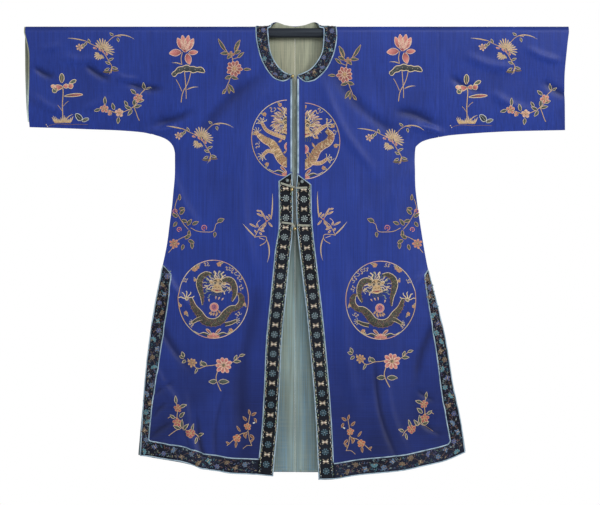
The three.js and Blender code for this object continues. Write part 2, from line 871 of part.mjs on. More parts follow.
// ---- The object ----
const coat = new THREE.Group();
coat.name = "embroidered_silk_coat";

function add(name, geometry, look) {
  geometry.computeVertexNormals();
  const mesh = new THREE.Mesh(geometry, look);
  mesh.name = name;
  coat.add(mesh);
  return mesh;
}

function addRod() {
  const length = ROD.leftEnd - ROD.rightEnd;
  const geometry = new THREE.CylinderGeometry(ROD.radius, ROD.radius, length, ROD.sides);
  const rod = add("rod", geometry, MATERIALS.wood);
  rod.rotation.z = -Math.PI / 2;
  rod.position.x = (ROD.leftEnd + ROD.rightEnd) / 2;
}

const ON_THE_EDGES = { opening: 0, hem: 0, slit: 0, seam: 0, neck: 0, cuff: 0 };

function addCloth(side) {
  for (const [prefix, depth, look, edges] of [
    ["", SILK_DEPTH, MATERIALS.silk, ON_THE_EDGES],
    ["lining_", LINING_DEPTH, MATERIALS.lining, LINING_INSET],
  ]) {
    const body = clothPiece(bodyOutline(side, edges), depth);
    add(prefix ? `lining_${side}` : `body_${side}`, body, look);
    const sleeve = clothPiece(sleeveOutline(side, edges), depth);
    add(prefix ? `sleeve_lining_${side}` : `sleeve_${side}`, sleeve, look);
  }
}

// A border and the piping that frames it, which may have a tip of its own.
function addBorder(name, pipingName, outline, look, tip = []) {
  add(name, clothPiece(inset(outline, PIPING_WIDTH + SEAM_GAP), BORDER_DEPTH), look);
  const frame = clothPiece([...tip, ...outline], PIPING_DEPTH, inset(outline, PIPING_WIDTH));
  add(pipingName, frame, MATERIALS.piping);
}

// A border that meets another above the hem, where its cloth reaches its edge and its piping stops.
function addMeetingBorder(name, pipingName, outline, look, side) {
  const whole = prism(outline);
  const cloth = prism(inset(outline, PIPING_WIDTH + SEAM_GAP));
  const reached = whole.intersect(prism(meetingOutline(side, SEAM_GAP)));
  add(name, clothSolid(cloth.add(reached), BORDER_DEPTH), look);
  const frame = whole.subtract(prism(inset(outline, PIPING_WIDTH)));
  add(pipingName, clothSolid(frame.subtract(prism(meetingOutline(side, 0))), PIPING_DEPTH), MATERIALS.piping);
}

function addBorders(side) {
  const front = [`front_border_${side}`, `front_piping_${side}`, frontBorderOutline(side)];
  addMeetingBorder(...front, MATERIALS.border, side);
  const slit = [`side_border_front_${side}`, `side_piping_front_${side}`, sideBorderFrontOutline(side)];
  addMeetingBorder(...slit, MATERIALS.sideBorder, side);
  addBorder(
    `side_border_back_${side}`,
    `side_piping_back_${side}`,
    sideBorderBackOutline(side),
    MATERIALS.sideBorder,
  );
  add(`edge_piping_${side}`, clothPiece(edgePipingOutline(side), PIPING_DEPTH), MATERIALS.piping);
}

// A gilt ball on a short shank, turned about +Y and set on the cloth with the shank inwards.
function ballProfile() {
  const { radius, shankRadius, shankLength, turns } = BUTTON;
  const foot = -radius - shankLength;
  const profile = [new THREE.Vector2(0, foot), new THREE.Vector2(shankRadius, foot)];
  for (let i = 0; i < turns; i += 1) {
    const angle = mix(Math.asin(shankRadius / radius), Math.PI, i / turns);
    profile.push(new THREE.Vector2(radius * Math.sin(angle), -radius * Math.cos(angle)));
  }
  return [...profile, new THREE.Vector2(0, radius)];
}

function addButton({ name, x, z, depth }) {
  const turned = stripped(new THREE.LatheGeometry(ballProfile(), BUTTON.sides));
  const button = add(name, mergeVertices(turned, WELD), MATERIALS.gilt);
  const { s } = frontAt({ x, z });
  const seat = depth + SEAM_GAP;
  const outward = onNet(x, s, seat + 1).sub(onNet(x, s, seat)).normalize();
  button.quaternion.setFromUnitVectors(new THREE.Vector3(0, 1, 0), outward);
  button.position.copy(onNet(x, s, seat)).addScaledVector(outward, BUTTON.radius + BUTTON.shankLength);
}

function stripped(geometry) {
  geometry.deleteAttribute("uv");
  geometry.deleteAttribute("normal");
  return geometry;
}

addRod();
for (const side of ["right", "left"]) {
  addCloth(side);
  addBorders(side);
}
addBorder("collar_band", "collar_piping", collarOutline(), MATERIALS.sideBorder, [frontAt(COLLAR_TIP)]);
for (const strap of STRAPS) {
  add(strap.name, clothPiece(strapOutline(strap), STRAP_DEPTH), MATERIALS.strap);
}
for (const button of BUTTONS) addButton(button);

export default coat;
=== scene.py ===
"""An embroidered blue silk coat hung flat on a plain rod through both sleeves.

The coat is described flat, as cloth. A place on it is (x, s) in millimetres: s runs along the cloth
from the top of the fold over the rod, down the front (s > 0) or down the back (s < 0). hang() puts
such a place in the frame, at a depth above the inside of the lining. Shells, borders, piping and
every stitch of the embroidery are drawn flat and hung by that one function, so they nest.
Right and left are the wearer's: the right half lies at -X, and the front faces -Y.
"""
import math

import bpy
import mathutils
import numpy as np
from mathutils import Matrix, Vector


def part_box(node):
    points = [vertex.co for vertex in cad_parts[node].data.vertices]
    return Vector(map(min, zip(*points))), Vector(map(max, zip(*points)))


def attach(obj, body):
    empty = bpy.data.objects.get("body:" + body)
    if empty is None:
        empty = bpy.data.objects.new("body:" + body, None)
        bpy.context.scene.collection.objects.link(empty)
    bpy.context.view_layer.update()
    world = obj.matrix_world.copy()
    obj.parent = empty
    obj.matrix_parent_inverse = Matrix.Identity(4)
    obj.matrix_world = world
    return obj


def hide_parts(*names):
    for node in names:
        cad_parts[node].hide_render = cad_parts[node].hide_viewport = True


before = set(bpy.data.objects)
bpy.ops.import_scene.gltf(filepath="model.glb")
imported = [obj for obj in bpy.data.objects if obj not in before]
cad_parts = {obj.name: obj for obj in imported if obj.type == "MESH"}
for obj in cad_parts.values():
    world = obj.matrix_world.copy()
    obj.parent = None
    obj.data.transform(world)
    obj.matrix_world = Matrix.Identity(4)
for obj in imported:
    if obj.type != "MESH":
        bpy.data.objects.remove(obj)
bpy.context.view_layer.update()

MM = 0.001
ROD_RADIUS = (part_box("rod")[1][2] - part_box("rod")[0][2]) / 2 / MM
ROD_CLEAR, FACET_HALF_ANGLE = 0.35, math.pi / 8
FOLD_RADIUS = (ROD_RADIUS + ROD_CLEAR) / math.cos(FACET_HALF_ANGLE)
QUARTER = FOLD_RADIUS * math.pi / 2
SLEEVE_SEAM = 345.0
SIGN = {"right": -1, "left": 1}
FACES = ("front", "back")

# Depths above the inside of the lining.
LINING, SILK, BORDER, PIPING_BASE = -0.1, 2.3, 3.3, 2.3
PIPING_HIGH, BORDER_THICK, TUCK, LINING_UNDER = 2.0, 0.7, 1.6, 0.3

# ---------------------------------------------------------------- camera
# The picture is 600 by 505 pixels, and 2.4 mm of the coat to a pixel.
PICTURE_WIDTH = 1.44
CAMERA_DISTANCE = 6.0
CAMERA_AIM = (0.012, -0.527)


def make_camera():
    camera = bpy.data.cameras.new("camera")
    camera.sensor_width = 36.0
    camera.lens = camera.sensor_width * CAMERA_DISTANCE / PICTURE_WIDTH
    holder = bpy.data.objects.new("camera", camera)
    holder.location = (CAMERA_AIM[0], -CAMERA_DISTANCE, CAMERA_AIM[1])
    holder.rotation_euler = (math.pi / 2, 0, 0)
    bpy.context.scene.collection.objects.link(holder)
    bpy.context.scene.camera = holder


make_camera()

# ---------------------------------------------------------------- the cut, hung
# (x, z) in millimetres. The same edges as the solids have, drawn smooth.
UNDERARM = {
    "right": [(-637, -226), (-571, -228), (-494, -231), (-418, -234), (-355, -240), (-317, -251),
              (-297, -265), (-289, -283), (-288, -305), (-289, -356), (-294, -409), (-300, -455),
              (-307, -508), (-317, -556)],
    "left": [(648, -233), (516, -236), (425, -241), (360, -247), (314, -257), (295, -268),
             (288, -284), (288, -358), (293, -409), (301, -464), (311, -526), (319, -567)],
}
SLIT = {
    "front": {"right": [(-341, -677), (-357, -802), (-366, -916), (-371, -1015)],
              "left": [(340, -646), (361, -733), (380, -848), (398, -929), (409, -1007)]},
    "back": {"right": [(-341, -677), (-358, -802), (-369, -916), (-378, -1015)],
             "left": [(340, -646), (361, -733), (380, -848), (399, -929), (411, -1006)]},
}
HEM = {
    "front": {"right": [(-371, -1015), (-338, -1018), (-305, -1024), (-270, -1029), (-238, -1039),
                        (-221, -1046), (-185, -1051), (-152, -1057), (-84, -1060), (-52, -1063)],
              "left": [(409, -1007), (361, -1027), (306, -1040), (264, -1049), (218, -1054), (150, -1061),
                       (95, -1070), (56, -1071)]},
    "back": {"right": [(-378, -1015), (-338, -1022), (-270, -1033), (-205, -1048), (-120, -1054), (0, -1055)],
             "left": [(411, -1006), (361, -1025), (306, -1037), (264, -1045), (190, -1052), (100, -1055),
                      (0, -1055)]},
}
FRONT_EDGE = {
    "right": [(-6.5, -103), (-6.5, -330), (-5.2, -372), (-5.2, -465), (-10.6, -525), (-19.3, -617),
              (-31, -734), (-36, -845), (-41.5, -946), (-48.4, -1020), (-52, -1063)],
    "left": [(4.8, -103), (4.8, -330), (2.6, -372), (4.5, -465), (16, -572), (29, -687),
             (41.5, -824), (50.5, -950), (56, -1071)],
}
BORDER_TOP = {"right": (-334, -356), "left": (-338, -364)}
# The front borders widen below the waist: (width, z).
BORDER_WIDTH = {"right": [(34, -470), (38, -525)], "left": [(36.5, -372), (38.5, -500)]}
SIDE_BORDER_INNER = {
    "right": [(-297, -579), (-302, -637), (-315, -723), (-327, -802), (-341, -889), (-350, -974)],
    "left": [(310, -581), (316, -627), (329, -710), (340, -783), (352, -874), (371, -978)],
}
HEM_BORDER, BACK_SLIT_BORDER, PIPING, EDGE_PIPING = 39.0, 33.0, 3.0, 4.8
CUFF = {
    "right": {"front": [(-646, 0), (-636.5, -44), (-636, -92), (-637.5, -149), (-639, -188), (-637, -226)],
              "back": [(-646, 0), (-646.5, -23), (-645, -113), (-642, -178), (-637, -226)]},
    "left": {"front": [(656, 0), (651.5, -37), (646, -105), (647, -178), (648, -233)],
             "back": [(656, 0), (652, -37), (647, -105), (647.5, -178), (648, -233)]},
}
# The neck's edge: front stretches by height, the rest by s.
NECK = {
    "right": {"front": [(-6.5, -103), (-29, -92), (-47.5, -70), (-58.5, -44), (-63, -10)],
              "round": [(-64, 11), (-57, 8.5), (-44, 7), (-20, -1), (0, -3)]},
    "left": {"front": [(4.8, -103), (33.5, -89), (51.5, -70), (64.5, -44), (68, -6)],
             "round": [(67, 11), (59, 8.5), (44, 7), (20, -1), (0, -3)]},
}
COLLAR_OUTER = {
    "right": {"front": [(-11.5, -109), (-24, -116), (-36, -116), (-53, -108), (-71, -85), (-84, -57),
                        (-93, -19)],
              "round": [(-95, 8), (-92, -8), (-80, -18), (-50, -25), (0, -33)]},
    "left": {"front": [(9.5, -107.5), (15.5, -112), (24, -118), (36, -118), (52, -112), (76, -88), (93, -53),
                       (101, -16)],
             "round": [(100, 8), (97, -8), (84, -18), (52, -25), (0, -33)]},
}

# ---------------------------------------------------------------- how the cloth hangs
SEAM_HALF, HOLLOW_HALF, OPENING_RATE, FOLD_EASE = -0.95, 11.5, 0.0098, 120.0
# How far the seam's line goes on past the cuff, and below the slit's top.
PAST_CUFF, PAST_SLIT = 80, (120, -60)
# Broad folds: middle x, spread, top, how far forward. Each comes in over the same height.
BROAD_FOLDS = [(-228, 34, -700, 5), (-120, 46, -520, -3), (40, 60, -640, 3), (216, 40, -640, 5),
               (300, 42, -600, -3)]
BROAD_EASE = 420
ROLL_START, ROLL_WIDTH, ROLL_TOP, ROLL_LENGTH, ROLL_BACK = 290.0, 120.0, -620.0, 380.0, 15.0
# Creases: from (x, z) to (x, z), half width, height (a trough is negative).
CREASES = {
    "front": [(-622, -84, -580, -106, 8, -2.2), (-608, -38, -566, -28, 9, 1.8),
        (-500, -76, -448, -110, 9, -2.4), (-428, -104, -384, -112, 7, 2.0),
        (-396, -122, -326, -134, 9, -2.6), (-500, -180, -452, -158, 8, 1.8),
        (-350, -236, -288, -226, 10, 2.4), (-330, -214, -250, -190, 12, -1.8),
        (-560, -60, -470, -64, 14, 1.4), (-630, -150, -560, -190, 12, 1.4),
        (-118, -292, -100, -560, 16, 1.6), (-300, -320, -230, -470, 16, 1.6),
        (-318, -560, -250, -660, 10, 2.0), (-336, -660, -256, -800, 12, -1.8),
        (-346, -780, -270, -900, 12, 1.8), (-262, -880, -226, -1040, 9, 2.6),
        (-232, -930, -206, -1050, 7, -2.4), (-300, -980, -330, -1018, 8, 1.8),
        (-60, -130, -170, -330, 14, 1.3), (-90, -110, -230, -250, 16, -1.2),
        (193, -796, 243, -1016, 8, -2.0), (216, -800, 264, -1000, 10, 1.7),
        (-294, -840, -337, -868, 6, -1.9), (-310, -888, -339, -921, 6, -1.6),
        (-298, -936, -341, -966, 6, -2.3), (-172, -870, -189, -1012, 6, -1.3),
        (296, -858, 330, -880, 6, -1.6), (300, -930, 344, -960, 7, -1.8), (120, -560, 150, -900, 18, 1.4),
        (318, -570, 250, -690, 10, 1.8), (345, -680, 290, -830, 12, -1.8), (384, -860, 330, -960, 10, 1.8),
        (300, -300, 230, -440, 16, 1.5), (354, -242, 290, -226, 10, 2.2), (330, -216, 250, -188, 12, -1.8),
        (420, -60, 520, -84, 12, 1.6), (560, -40, 630, -66, 9, 1.8), (600, -120, 648, -150, 10, -1.8),
        (480, -150, 560, -186, 12, 1.6), (380, -110, 440, -140, 9, -2.0), (70, -130, 180, -320, 14, 1.3),
        (100, -108, 240, -240, 16, -1.2), (20, -620, 60, -980, 22, 1.4), (-90, -640, -120, -1000, 20, -1.4)],
    "back": [(-600, -50, -520, -90, 10, 1.8), (-460, -90, -380, -130, 10, -2.2),
        (-350, -236, -286, -222, 10, 2.4), (-300, -330, -220, -480, 16, 1.6),
        (-340, -690, -260, -820, 12, 1.8), (-180, -820, -150, -1040, 12, 2.4),
        (-60, -300, -40, -700, 18, 1.4), (90, -420, 70, -860, 18, -1.4), (180, -840, 205, -1040, 11, 2.4),
        (340, -700, 270, -830, 12, 1.8), (354, -242, 290, -224, 10, 2.2), (430, -70, 520, -110, 11, 1.8),
        (560, -140, 630, -170, 10, -1.8), (300, -320, 226, -470, 16, 1.5), (-60, -60, -180, -210, 14, 1.4),
        (66, -60, 190, -220, 14, 1.4)],
}
# CREASE_SHADE_DEPTH is the depth of a crease at which the painted shade in the creases is full.
CREASE_HEIGHT, CREASE_WIDTH, CREASE_BEND, CREASE_SHADE_DEPTH = 2.1, 0.8, 0.06, 4.5
# Where the creases begin below the fold, and the unevenness: its two heights and its turn on the back.
CREASED = (6, 50)
BROAD_RIPPLE, FINE_RIPPLE, BACK_TURN = 0.5, 0.35, 2.1
SEAM_DIP, SEAM_DIP_WIDTH = 0.4, 3.5
STANDING = (44.0, 72.0)


def smooth(low, high, value):
    share = np.clip((value - low) / (high - low), 0, 1)
    return share * share * (3 - 2 * share)


def seam_line(side):
    """The seam that closes the sleeve and side, going on straight at the cuff and outwards at the slit."""
    run = UNDERARM[side]
    outward, (cuff_x, cuff_z), (slit_x, slit_z) = SIGN[side], run[0], run[-1]
    return [(cuff_x + PAST_CUFF * outward, cuff_z), *run, (slit_x + PAST_SLIT[0] * outward,
                                                           slit_z + PAST_SLIT[1])]


def seam_distance(x, z):
    """Distance inside the seam, negative beyond it."""
    least = np.full(x.shape, 1e9)
    inside = np.ones(x.shape)
    for side, outward in SIGN.items():
        line = seam_line(side)
        mine = (x < 0) if side == "right" else (x >= 0)
        for (ax, az), (bx, bz) in zip(line, line[1:]):
            dx, dz = bx - ax, bz - az
            share = np.clip(((x - ax) * dx + (z - az) * dz) / (dx * dx + dz * dz), 0, 1)
            distance = np.hypot(x - ax - share * dx, z - az - share * dz)
            nearer = mine & (distance < least - 1e-9)
            least = np.where(nearer, distance, least)
            sign = np.where((dx * (z - az) - dz * (x - ax)) * outward < 0, 1.0, -1.0)
            inside = np.where(nearer, sign, inside)
    return least * inside


def half_depth(x, z):
    distance = seam_distance(x, z)
    opened = np.where(distance > 0, 1 - np.exp(-OPENING_RATE * np.maximum(distance, 0)),
                      OPENING_RATE * distance)
    hanging = SEAM_HALF + (HOLLOW_HALF - SEAM_HALF) * opened
    ease = smooth(0, FOLD_EASE, -z)
    return FOLD_RADIUS + (hanging - FOLD_RADIUS) * ease


def middle(x, z):
    y = np.zeros(x.shape)
    for centre, spread, top, forward in BROAD_FOLDS:
        y -= forward * np.exp(-(((x - centre) / spread) ** 2)) * smooth(-top, BROAD_EASE - top, -z)
    edge = smooth(ROLL_START, ROLL_START + ROLL_WIDTH, np.abs(x))
    return y + ROLL_BACK * edge * smooth(-ROLL_TOP, ROLL_LENGTH - ROLL_TOP, -z)


def creasing(x, z, face):
    """How far creases and soft unevenness bring the cloth outwards."""
    out = np.zeros(x.shape)
    for ax, az, bx, bz, half, height in CREASES[face]:
        dx, dz = bx - ax, bz - az
        long = math.hypot(dx, dz)
        along = ((x - ax) * dx + (z - az) * dz) / long
        bend = CREASE_BEND * long * np.sin(np.pi * np.clip(along / long, 0, 1))
        across = ((x - ax) * dz - (z - az) * dx) / long - bend
        fade = (-0.25 * long, 0.3 * long)
        ends = smooth(*fade, along) * smooth(*fade, long - along)
        out += CREASE_HEIGHT * height * np.exp(-((across / (CREASE_WIDTH * half)) ** 2)) * ends
    turn = 0.0 if face == "front" else BACK_TURN
    ripple = BROAD_RIPPLE * np.sin(x / 41 + z / 97 + turn) * np.sin(z / 63 - x / 150 + 1.3 * turn)
    ripple += FINE_RIPPLE * np.sin(x / 17 - z / 58 + 2 * turn) * np.sin(z / 29 + x / 77)
    seam = SEAM_DIP * np.exp(-(((np.abs(x) - SLEEVE_SEAM) / SEAM_DIP_WIDTH) ** 2))
    return (out + ripple) * smooth(*CREASED, -z) - seam


def sunken(x, s):
    """How far down a place lies in the creases, from 0 to 1: how much painted shade darkens the cloth there.
    """
    z = QUARTER - np.abs(s)
    low = np.where(s > 0, creasing(x, z, "front"), creasing(x, z, "back"))
    return np.clip(-low / CREASE_SHADE_DEPTH, 0, 1) ** 0.8


def standing(x, s):
    """Round the back of the neck the cloth stands up behind the rod."""
    across = 1 - smooth(*STANDING, np.abs(x))
    kept = np.clip(across - (1 - across) * np.maximum(0, s / (QUARTER / 2)), 0, 1)
    kept = kept * (1 - np.clip((s - QUARTER / 2) / (QUARTER / 2), 0, 1))
    return np.where(s <= -QUARTER, 0.0, kept)


def base_point(x, s):
    below = np.abs(s) - QUARTER
    z = -np.maximum(below, 0)
    front = s > 0
    depth = half_depth(x, z) + np.where(front, creasing(x, z, "front"), creasing(x, z, "back"))
    y_hung = middle(x, z) + np.where(front, -depth, depth)
    angle = s / FOLD_RADIUS
    up = standing(x, s)
    y_fold = -FOLD_RADIUS * np.sin(angle) * (1 - up) + FOLD_RADIUS * up
    z_fold = FOLD_RADIUS * np.cos(angle) * (1 - up) + (QUARTER + s) * up
    hanging = below > 0
    return np.stack([x, np.where(hanging, y_hung, y_fold), np.where(hanging, z, z_fold)], axis=-1)


def hang(x, s, depth):
    """Places in the frame, in metres, for places on the cloth in millimetres."""
    x, s, depth = np.broadcast_arrays(*(np.asarray(value, float) for value in (x, s, depth)))
    step = 1.5
    along = base_point(x, s + step) - base_point(x, s - step)
    across = base_point(x + step, s) - base_point(x - step, s)
    normal = np.cross(along, across)
    normal /= np.linalg.norm(normal, axis=-1, keepdims=True)
    return (base_point(x, s) + normal * depth[..., None]) * MM


# ---------------------------------------------------------------- meshes
def curved(points, step=5.0):
    """A smooth run through points, with a point about every step."""
    points = np.asarray(points, float)
    out = []
    for i in range(len(points) - 1):
        p0, p1 = points[max(i - 1, 0)], points[i]
        p2, p3 = points[i + 1], points[min(i + 2, len(points) - 1)]
        count = max(2, int(np.linalg.norm(p2 - p1) / step))
        for t in np.arange(count) / count:
            out.append(0.5 * (2 * p1 + (p2 - p0) * t + (2 * p0 - 5 * p1 + 4 * p2 - p3) * t ** 2
                              + (3 * p1 - p0 - 3 * p2 + p3) * t ** 3))
    out.append(points[-1])
    return np.array(out)


def fronts(points):
    return [(x, QUARTER - z) for x, z in points]


def directions(line):
    """Unit directions along a line and to its left."""
    ahead = np.gradient(np.asarray(line, float), axis=0)
    ahead /= np.linalg.norm(ahead, axis=1, keepdims=True) + 1e-9
    return ahead, np.stack([-ahead[:, 1], ahead[:, 0]], axis=1)


def run_lengths(line):
    """How far along a line each of its points lies."""
    steps = np.linalg.norm(np.diff(np.asarray(line, float), axis=0), axis=1)
    return np.concatenate([[0], np.cumsum(steps)])


def x_along(run, s):
    """x of an edge, given as a run of (x, s) with s going one way, at each s."""
    run = np.asarray(run)
    order = np.argsort(run[:, 1], kind="stable")
    return np.interp(s, run[order, 1], run[order, 0])


def link(piece):
    bpy.context.scene.collection.objects.link(piece)
    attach(piece, "root")
    return piece


def mesh_piece(name, points, faces, material, tints=None, uvs=None):
    """A smooth-shaded piece. uvs, one for each point, are in millimetres along and across the thread."""
    mesh = bpy.data.meshes.new(name)
    points = np.asarray(points, float)
    faces = np.asarray(faces, np.int32)
    mesh.vertices.add(len(points))
    mesh.vertices.foreach_set("co", points.astype(np.float32).ravel())
    mesh.loops.add(faces.size)
    mesh.loops.foreach_set("vertex_index", faces.ravel())
    mesh.polygons.add(len(faces))
    mesh.polygons.foreach_set("loop_start", np.arange(len(faces), dtype=np.int32) * faces.shape[1])
    mesh.update(calc_edges=True)
    mesh.polygons.foreach_set("use_smooth", np.ones(len(faces), bool))
    if tints is not None:
        colours = np.ones((len(points), 4), np.float32)
        colours[:, :3] = tints
        mesh.color_attributes.new("tint", "FLOAT_COLOR", "POINT").data.foreach_set("color", colours.ravel())
    if uvs is not None:
        layer = mesh.uv_layers.new(name="thread")
        layer.data.foreach_set("uv", np.asarray(uvs, np.float32)[faces.ravel()].ravel())
    mesh.validate()
    mesh.materials.append(material)
    return link(bpy.data.objects.new(name, mesh))


def grid_faces(rows, columns, start=0, turned=False):
    """The quads of a grid of points, row by row. From outside, rows go down and columns to the right."""
    index = start + np.arange(rows * columns).reshape(rows, columns)
    corners = [index[:-1, :-1], index[1:, :-1], index[1:, 1:], index[:-1, 1:]]
    if turned:
        corners = corners[::-1]
    return np.stack(corners, axis=-1).reshape(-1, 4)


def turned_up(shape, inner, edge):
    """Depths for a grid of lining: its outermost places are turned up to meet the silk."""
    depth = np.full(shape, float(inner))
    depth[[0, -1], :] = depth[:, [0, -1]] = edge
    return depth


def shell(name, x, s, depth, material, inward=False):
    """A sheet from a grid of (x, s), with rows going from the front hem over to the back hem."""
    rows, columns = x.shape
    places = hang(x, s, depth)
    outward = (x[0, -1] > x[0, 0]) != inward
    faces = grid_faces(rows, columns, turned=outward)
    uvs = np.stack([x, s], axis=-1).reshape(-1, 2)
    # The crease depth goes into the vertex colour tint, by which the silk and lining are darkened: painted
    # shade in the creases.
    dark = sunken(x, s).reshape(-1, 1) * np.ones((1, 3))
    return mesh_piece(name, places.reshape(-1, 3), faces, material, dark, uvs)


# ---------------------------------------------------------------- panels
# Rows and columns of the cloths: stops, each with the spacing up to it. Rows are in mm, columns shares.
BODY_ROWS = [(0, 0), (24, 1.6), (130, 4), (236, 6), (330, 4), (1090, 5.6)]
BODY_COLUMNS = [(0, 0), (0.88, 0.0145), (1, 0.01)]
SLEEVE_ROWS = [(0, 0), (24, 2.2), (250, 5.5)]
SLEEVE_COLUMNS = [(0, 0), (1, 0.02)]
# How far down the neck opening ends, its s at the shoulder and at the back, and half the centre back gap.
NECK_LOW, NECK_SIDE, NECK_BACK, CENTRE_GAP = 103, 11, -3, 0.15


def uneven(stops, coarse):
    """Numbers from the first stop to the last, each stretch (end, spacing) at its own spacing."""
    values = [stops[0][0]]
    for end, spacing in stops[1:]:
        count = max(1, round(abs(end - values[-1]) / (spacing * coarse)))
        values.extend(np.linspace(values[-1], end, count + 1)[1:])
    return np.array(values)


def body_grid(side, coarse=1.0, drawn_in=0.0, seam_in=0.0):
    """The grid of one body length, from the front hem over the shoulder to the back hem."""
    sign = SIGN[side]
    fine = uneven(BODY_ROWS, coarse)
    share = fine / fine[-1]
    across = uneven(BODY_COLUMNS, coarse)
    neck_front = fronts(curved(NECK[side]["front"], 3))
    round_ = [tuple(p) for p in curved(NECK[side]["round"], 2)]
    edge = fronts(curved(FRONT_EDGE[side], 8))
    seam = [(sign * SLEEVE_SEAM, 0), *[p for p in curved(UNDERARM[side], 4) if abs(p[0]) < SLEEVE_SEAM]]
    first = seam[1][1]
    rows_x, rows_s = [], []
    for face in FACES:
        slit = curved([UNDERARM[side][-1], *SLIT[face][side]], 8)
        outer = [(sign * SLEEVE_SEAM, 0), (sign * SLEEVE_SEAM, first + 0.5), *seam[1:], *slit[1:]]
        outer_x = np.array([p[0] for p in outer])[::-1]
        above_slit = np.array([p[1] for p in outer])[::-1] > UNDERARM[side][-1][1] - 4
        outer_x = outer_x - sign * np.where(above_slit, seam_in, drawn_in)
        outer_z = np.array([p[1] for p in outer])[::-1]
        outer_x[outer_z > first + 0.2] = sign * SLEEVE_SEAM
        hem = curved(HEM[face][side], 6)
        hem = hem[np.argsort(hem[:, 0])]
        start_x = edge[-1][0] if face == "front" else 0.0
        hem_x = start_x + across * (outer_x[0] - start_x)
        hem_s = QUARTER - np.interp(hem_x, hem[:, 0], hem[:, 1]) - drawn_in
        top = share[:, None] * hem_s[None, :]
        if face == "front":
            inner = np.where(top[:, 0] > QUARTER + NECK_LOW, x_along(edge, top[:, 0]),
                             x_along([*neck_front, *round_[:1]], top[:, 0]))
            inner = np.where(top[:, 0] < NECK_SIDE, x_along(round_[: len(round_) - 1], top[:, 0]), inner)
        else:
            inner = np.where(-top[:, 0] < NECK_BACK, CENTRE_GAP * sign, x_along(round_, -top[:, 0]))
        inner = inner + sign * drawn_in * (0.2 if face == "front" else 0)
        outer_at = np.interp(QUARTER - top[:, -1], outer_z, outer_x)
        grid_x = inner[:, None] + across[None, :] * (outer_at - inner)[:, None]
        if face == "front":
            rows_x.append(grid_x[::-1])
            rows_s.append(top[::-1])
        else:
            rows_x.append(grid_x[1:])
            rows_s.append(-top[1:])
    return np.vstack(rows_x), np.vstack(rows_s)


def sleeve_grid(side, coarse=1.0, drawn_in=0.0, seam_in=0.0):
    sign = SIGN[side]
    fine = uneven(SLEEVE_ROWS, coarse)
    share = fine / fine[-1]
    across = uneven(SLEEVE_COLUMNS, coarse)
    bottom = curved(UNDERARM[side][:6], 8)
    bottom = bottom[np.argsort(bottom[:, 0])]
    rows_x, rows_s = [], []
    for face in FACES:
        cuff = curved(CUFF[side][face], 6)
        seam_x = sign * SLEEVE_SEAM
        low_x = seam_x + across * (cuff[-1][0] - seam_x)
        low_s = QUARTER - np.interp(low_x, bottom[:, 0], bottom[:, 1]) - seam_in
        s = share[:, None] * low_s[None, :]
        cuff_x = np.interp(QUARTER - s[:, -1], cuff[::-1, 1], cuff[::-1, 0]) - sign * drawn_in
        x = seam_x + across[None, :] * (cuff_x - seam_x)[:, None]
        rows_x.append(x[::-1] if face == "front" else x[1:])
        rows_s.append(s[::-1] if face == "front" else -s[1:])
    return np.vstack(rows_x), np.vstack(rows_s)


# ---------------------------------------------------------------- materials
def colour(red, green, blue):
    """Linear colour from display values of 0 to 255."""
    return tuple(((v / 255 + 0.055) / 1.055) ** 2.4 if v > 10 else v / 255 / 12.92 for v in (
        red, green, blue))


class Nodes:
    """A material's nodes, made and joined in few words."""

    def __init__(self, name, roughness, metallic=0.0, sheen=0.0, sheen_tint=(1, 1, 1), specular=0.5):
        self.material = bpy.data.materials.new(name)
        self.material.use_nodes = True
        self.tree = self.material.node_tree
        self.shader = self.tree.nodes["Principled BSDF"]
        self.shader.inputs["Roughness"].default_value = roughness
        self.shader.inputs["Metallic"].default_value = metallic
        self.shader.inputs["Sheen Weight"].default_value = sheen
        self.shader.inputs["Sheen Tint"].default_value = (*sheen_tint, 1)
        self.shader.inputs["Specular IOR Level"].default_value = specular

    def add(self, kind, settings=None, **inputs):
        node = self.tree.nodes.new(kind)
        for key, value in (settings or {}).items():
            setattr(node, key, value)
        for key, value in inputs.items():
            numbered = key[0] == "i" and key[1:].isdigit()
            socket = node.inputs[int(key[1:]) if numbered else key.replace("_", " ")]
            self.put(socket, value)
        return node

    def put(self, socket, value):
        if isinstance(value, bpy.types.NodeSocket):
            self.tree.links.new(value, socket)
        else:
            socket.default_value = value

    def math(self, kind, first, second=0.0):
        return self.add("ShaderNodeMath", {"operation": kind}, i0=first, i1=second).outputs[0]

    def mix(self, share, first, second, blend="MIX"):
        node = self.add("ShaderNodeMix", {"data_type": "RGBA", "blend_type": blend})
        self.put(node.inputs["Factor"], share)
        self.put(node.inputs["A"], first if isinstance(first, bpy.types.NodeSocket) else (*first, 1))
        self.put(node.inputs["B"], second if isinstance(second, bpy.types.NodeSocket) else (*second, 1))
        return node.outputs["Result"]

    def noise(self, vector, scale, detail=2.0, roughness=0.5):
        return self.add("ShaderNodeTexNoise", Vector=vector, Scale=scale, Detail=detail,
                        Roughness=roughness).outputs["Fac"]

    def stretched(self, vector, x, y, z):
        return self.add("ShaderNodeMapping", Vector=vector, Scale=(x, y, z)).outputs["Vector"]

    def place(self):
        return self.add("ShaderNodeTexCoord").outputs["Object"]

    def thread(self):
        return self.add("ShaderNodeUVMap", {"uv_map": "thread"}).outputs["UV"]

    def ramp(self, value, low, high):
        node = self.add("ShaderNodeMapRange", i0=value, i1=low, i2=high, i3=0.0, i4=1.0)
        return node.outputs["Result"]

    def base(self, value):
        self.put(self.shader.inputs["Base Color"], value)

    def rough(self, value):
        self.put(self.shader.inputs["Roughness"], value)

    def bump(self, height, strength, distance, onto=None):
        node = self.add("ShaderNodeBump", Strength=strength, Distance=distance, Height=height)
        if onto is not None:
            self.put(node.inputs["Normal"], onto)
        self.put(self.shader.inputs["Normal"], node.outputs["Normal"])
        return node.outputs["Normal"]


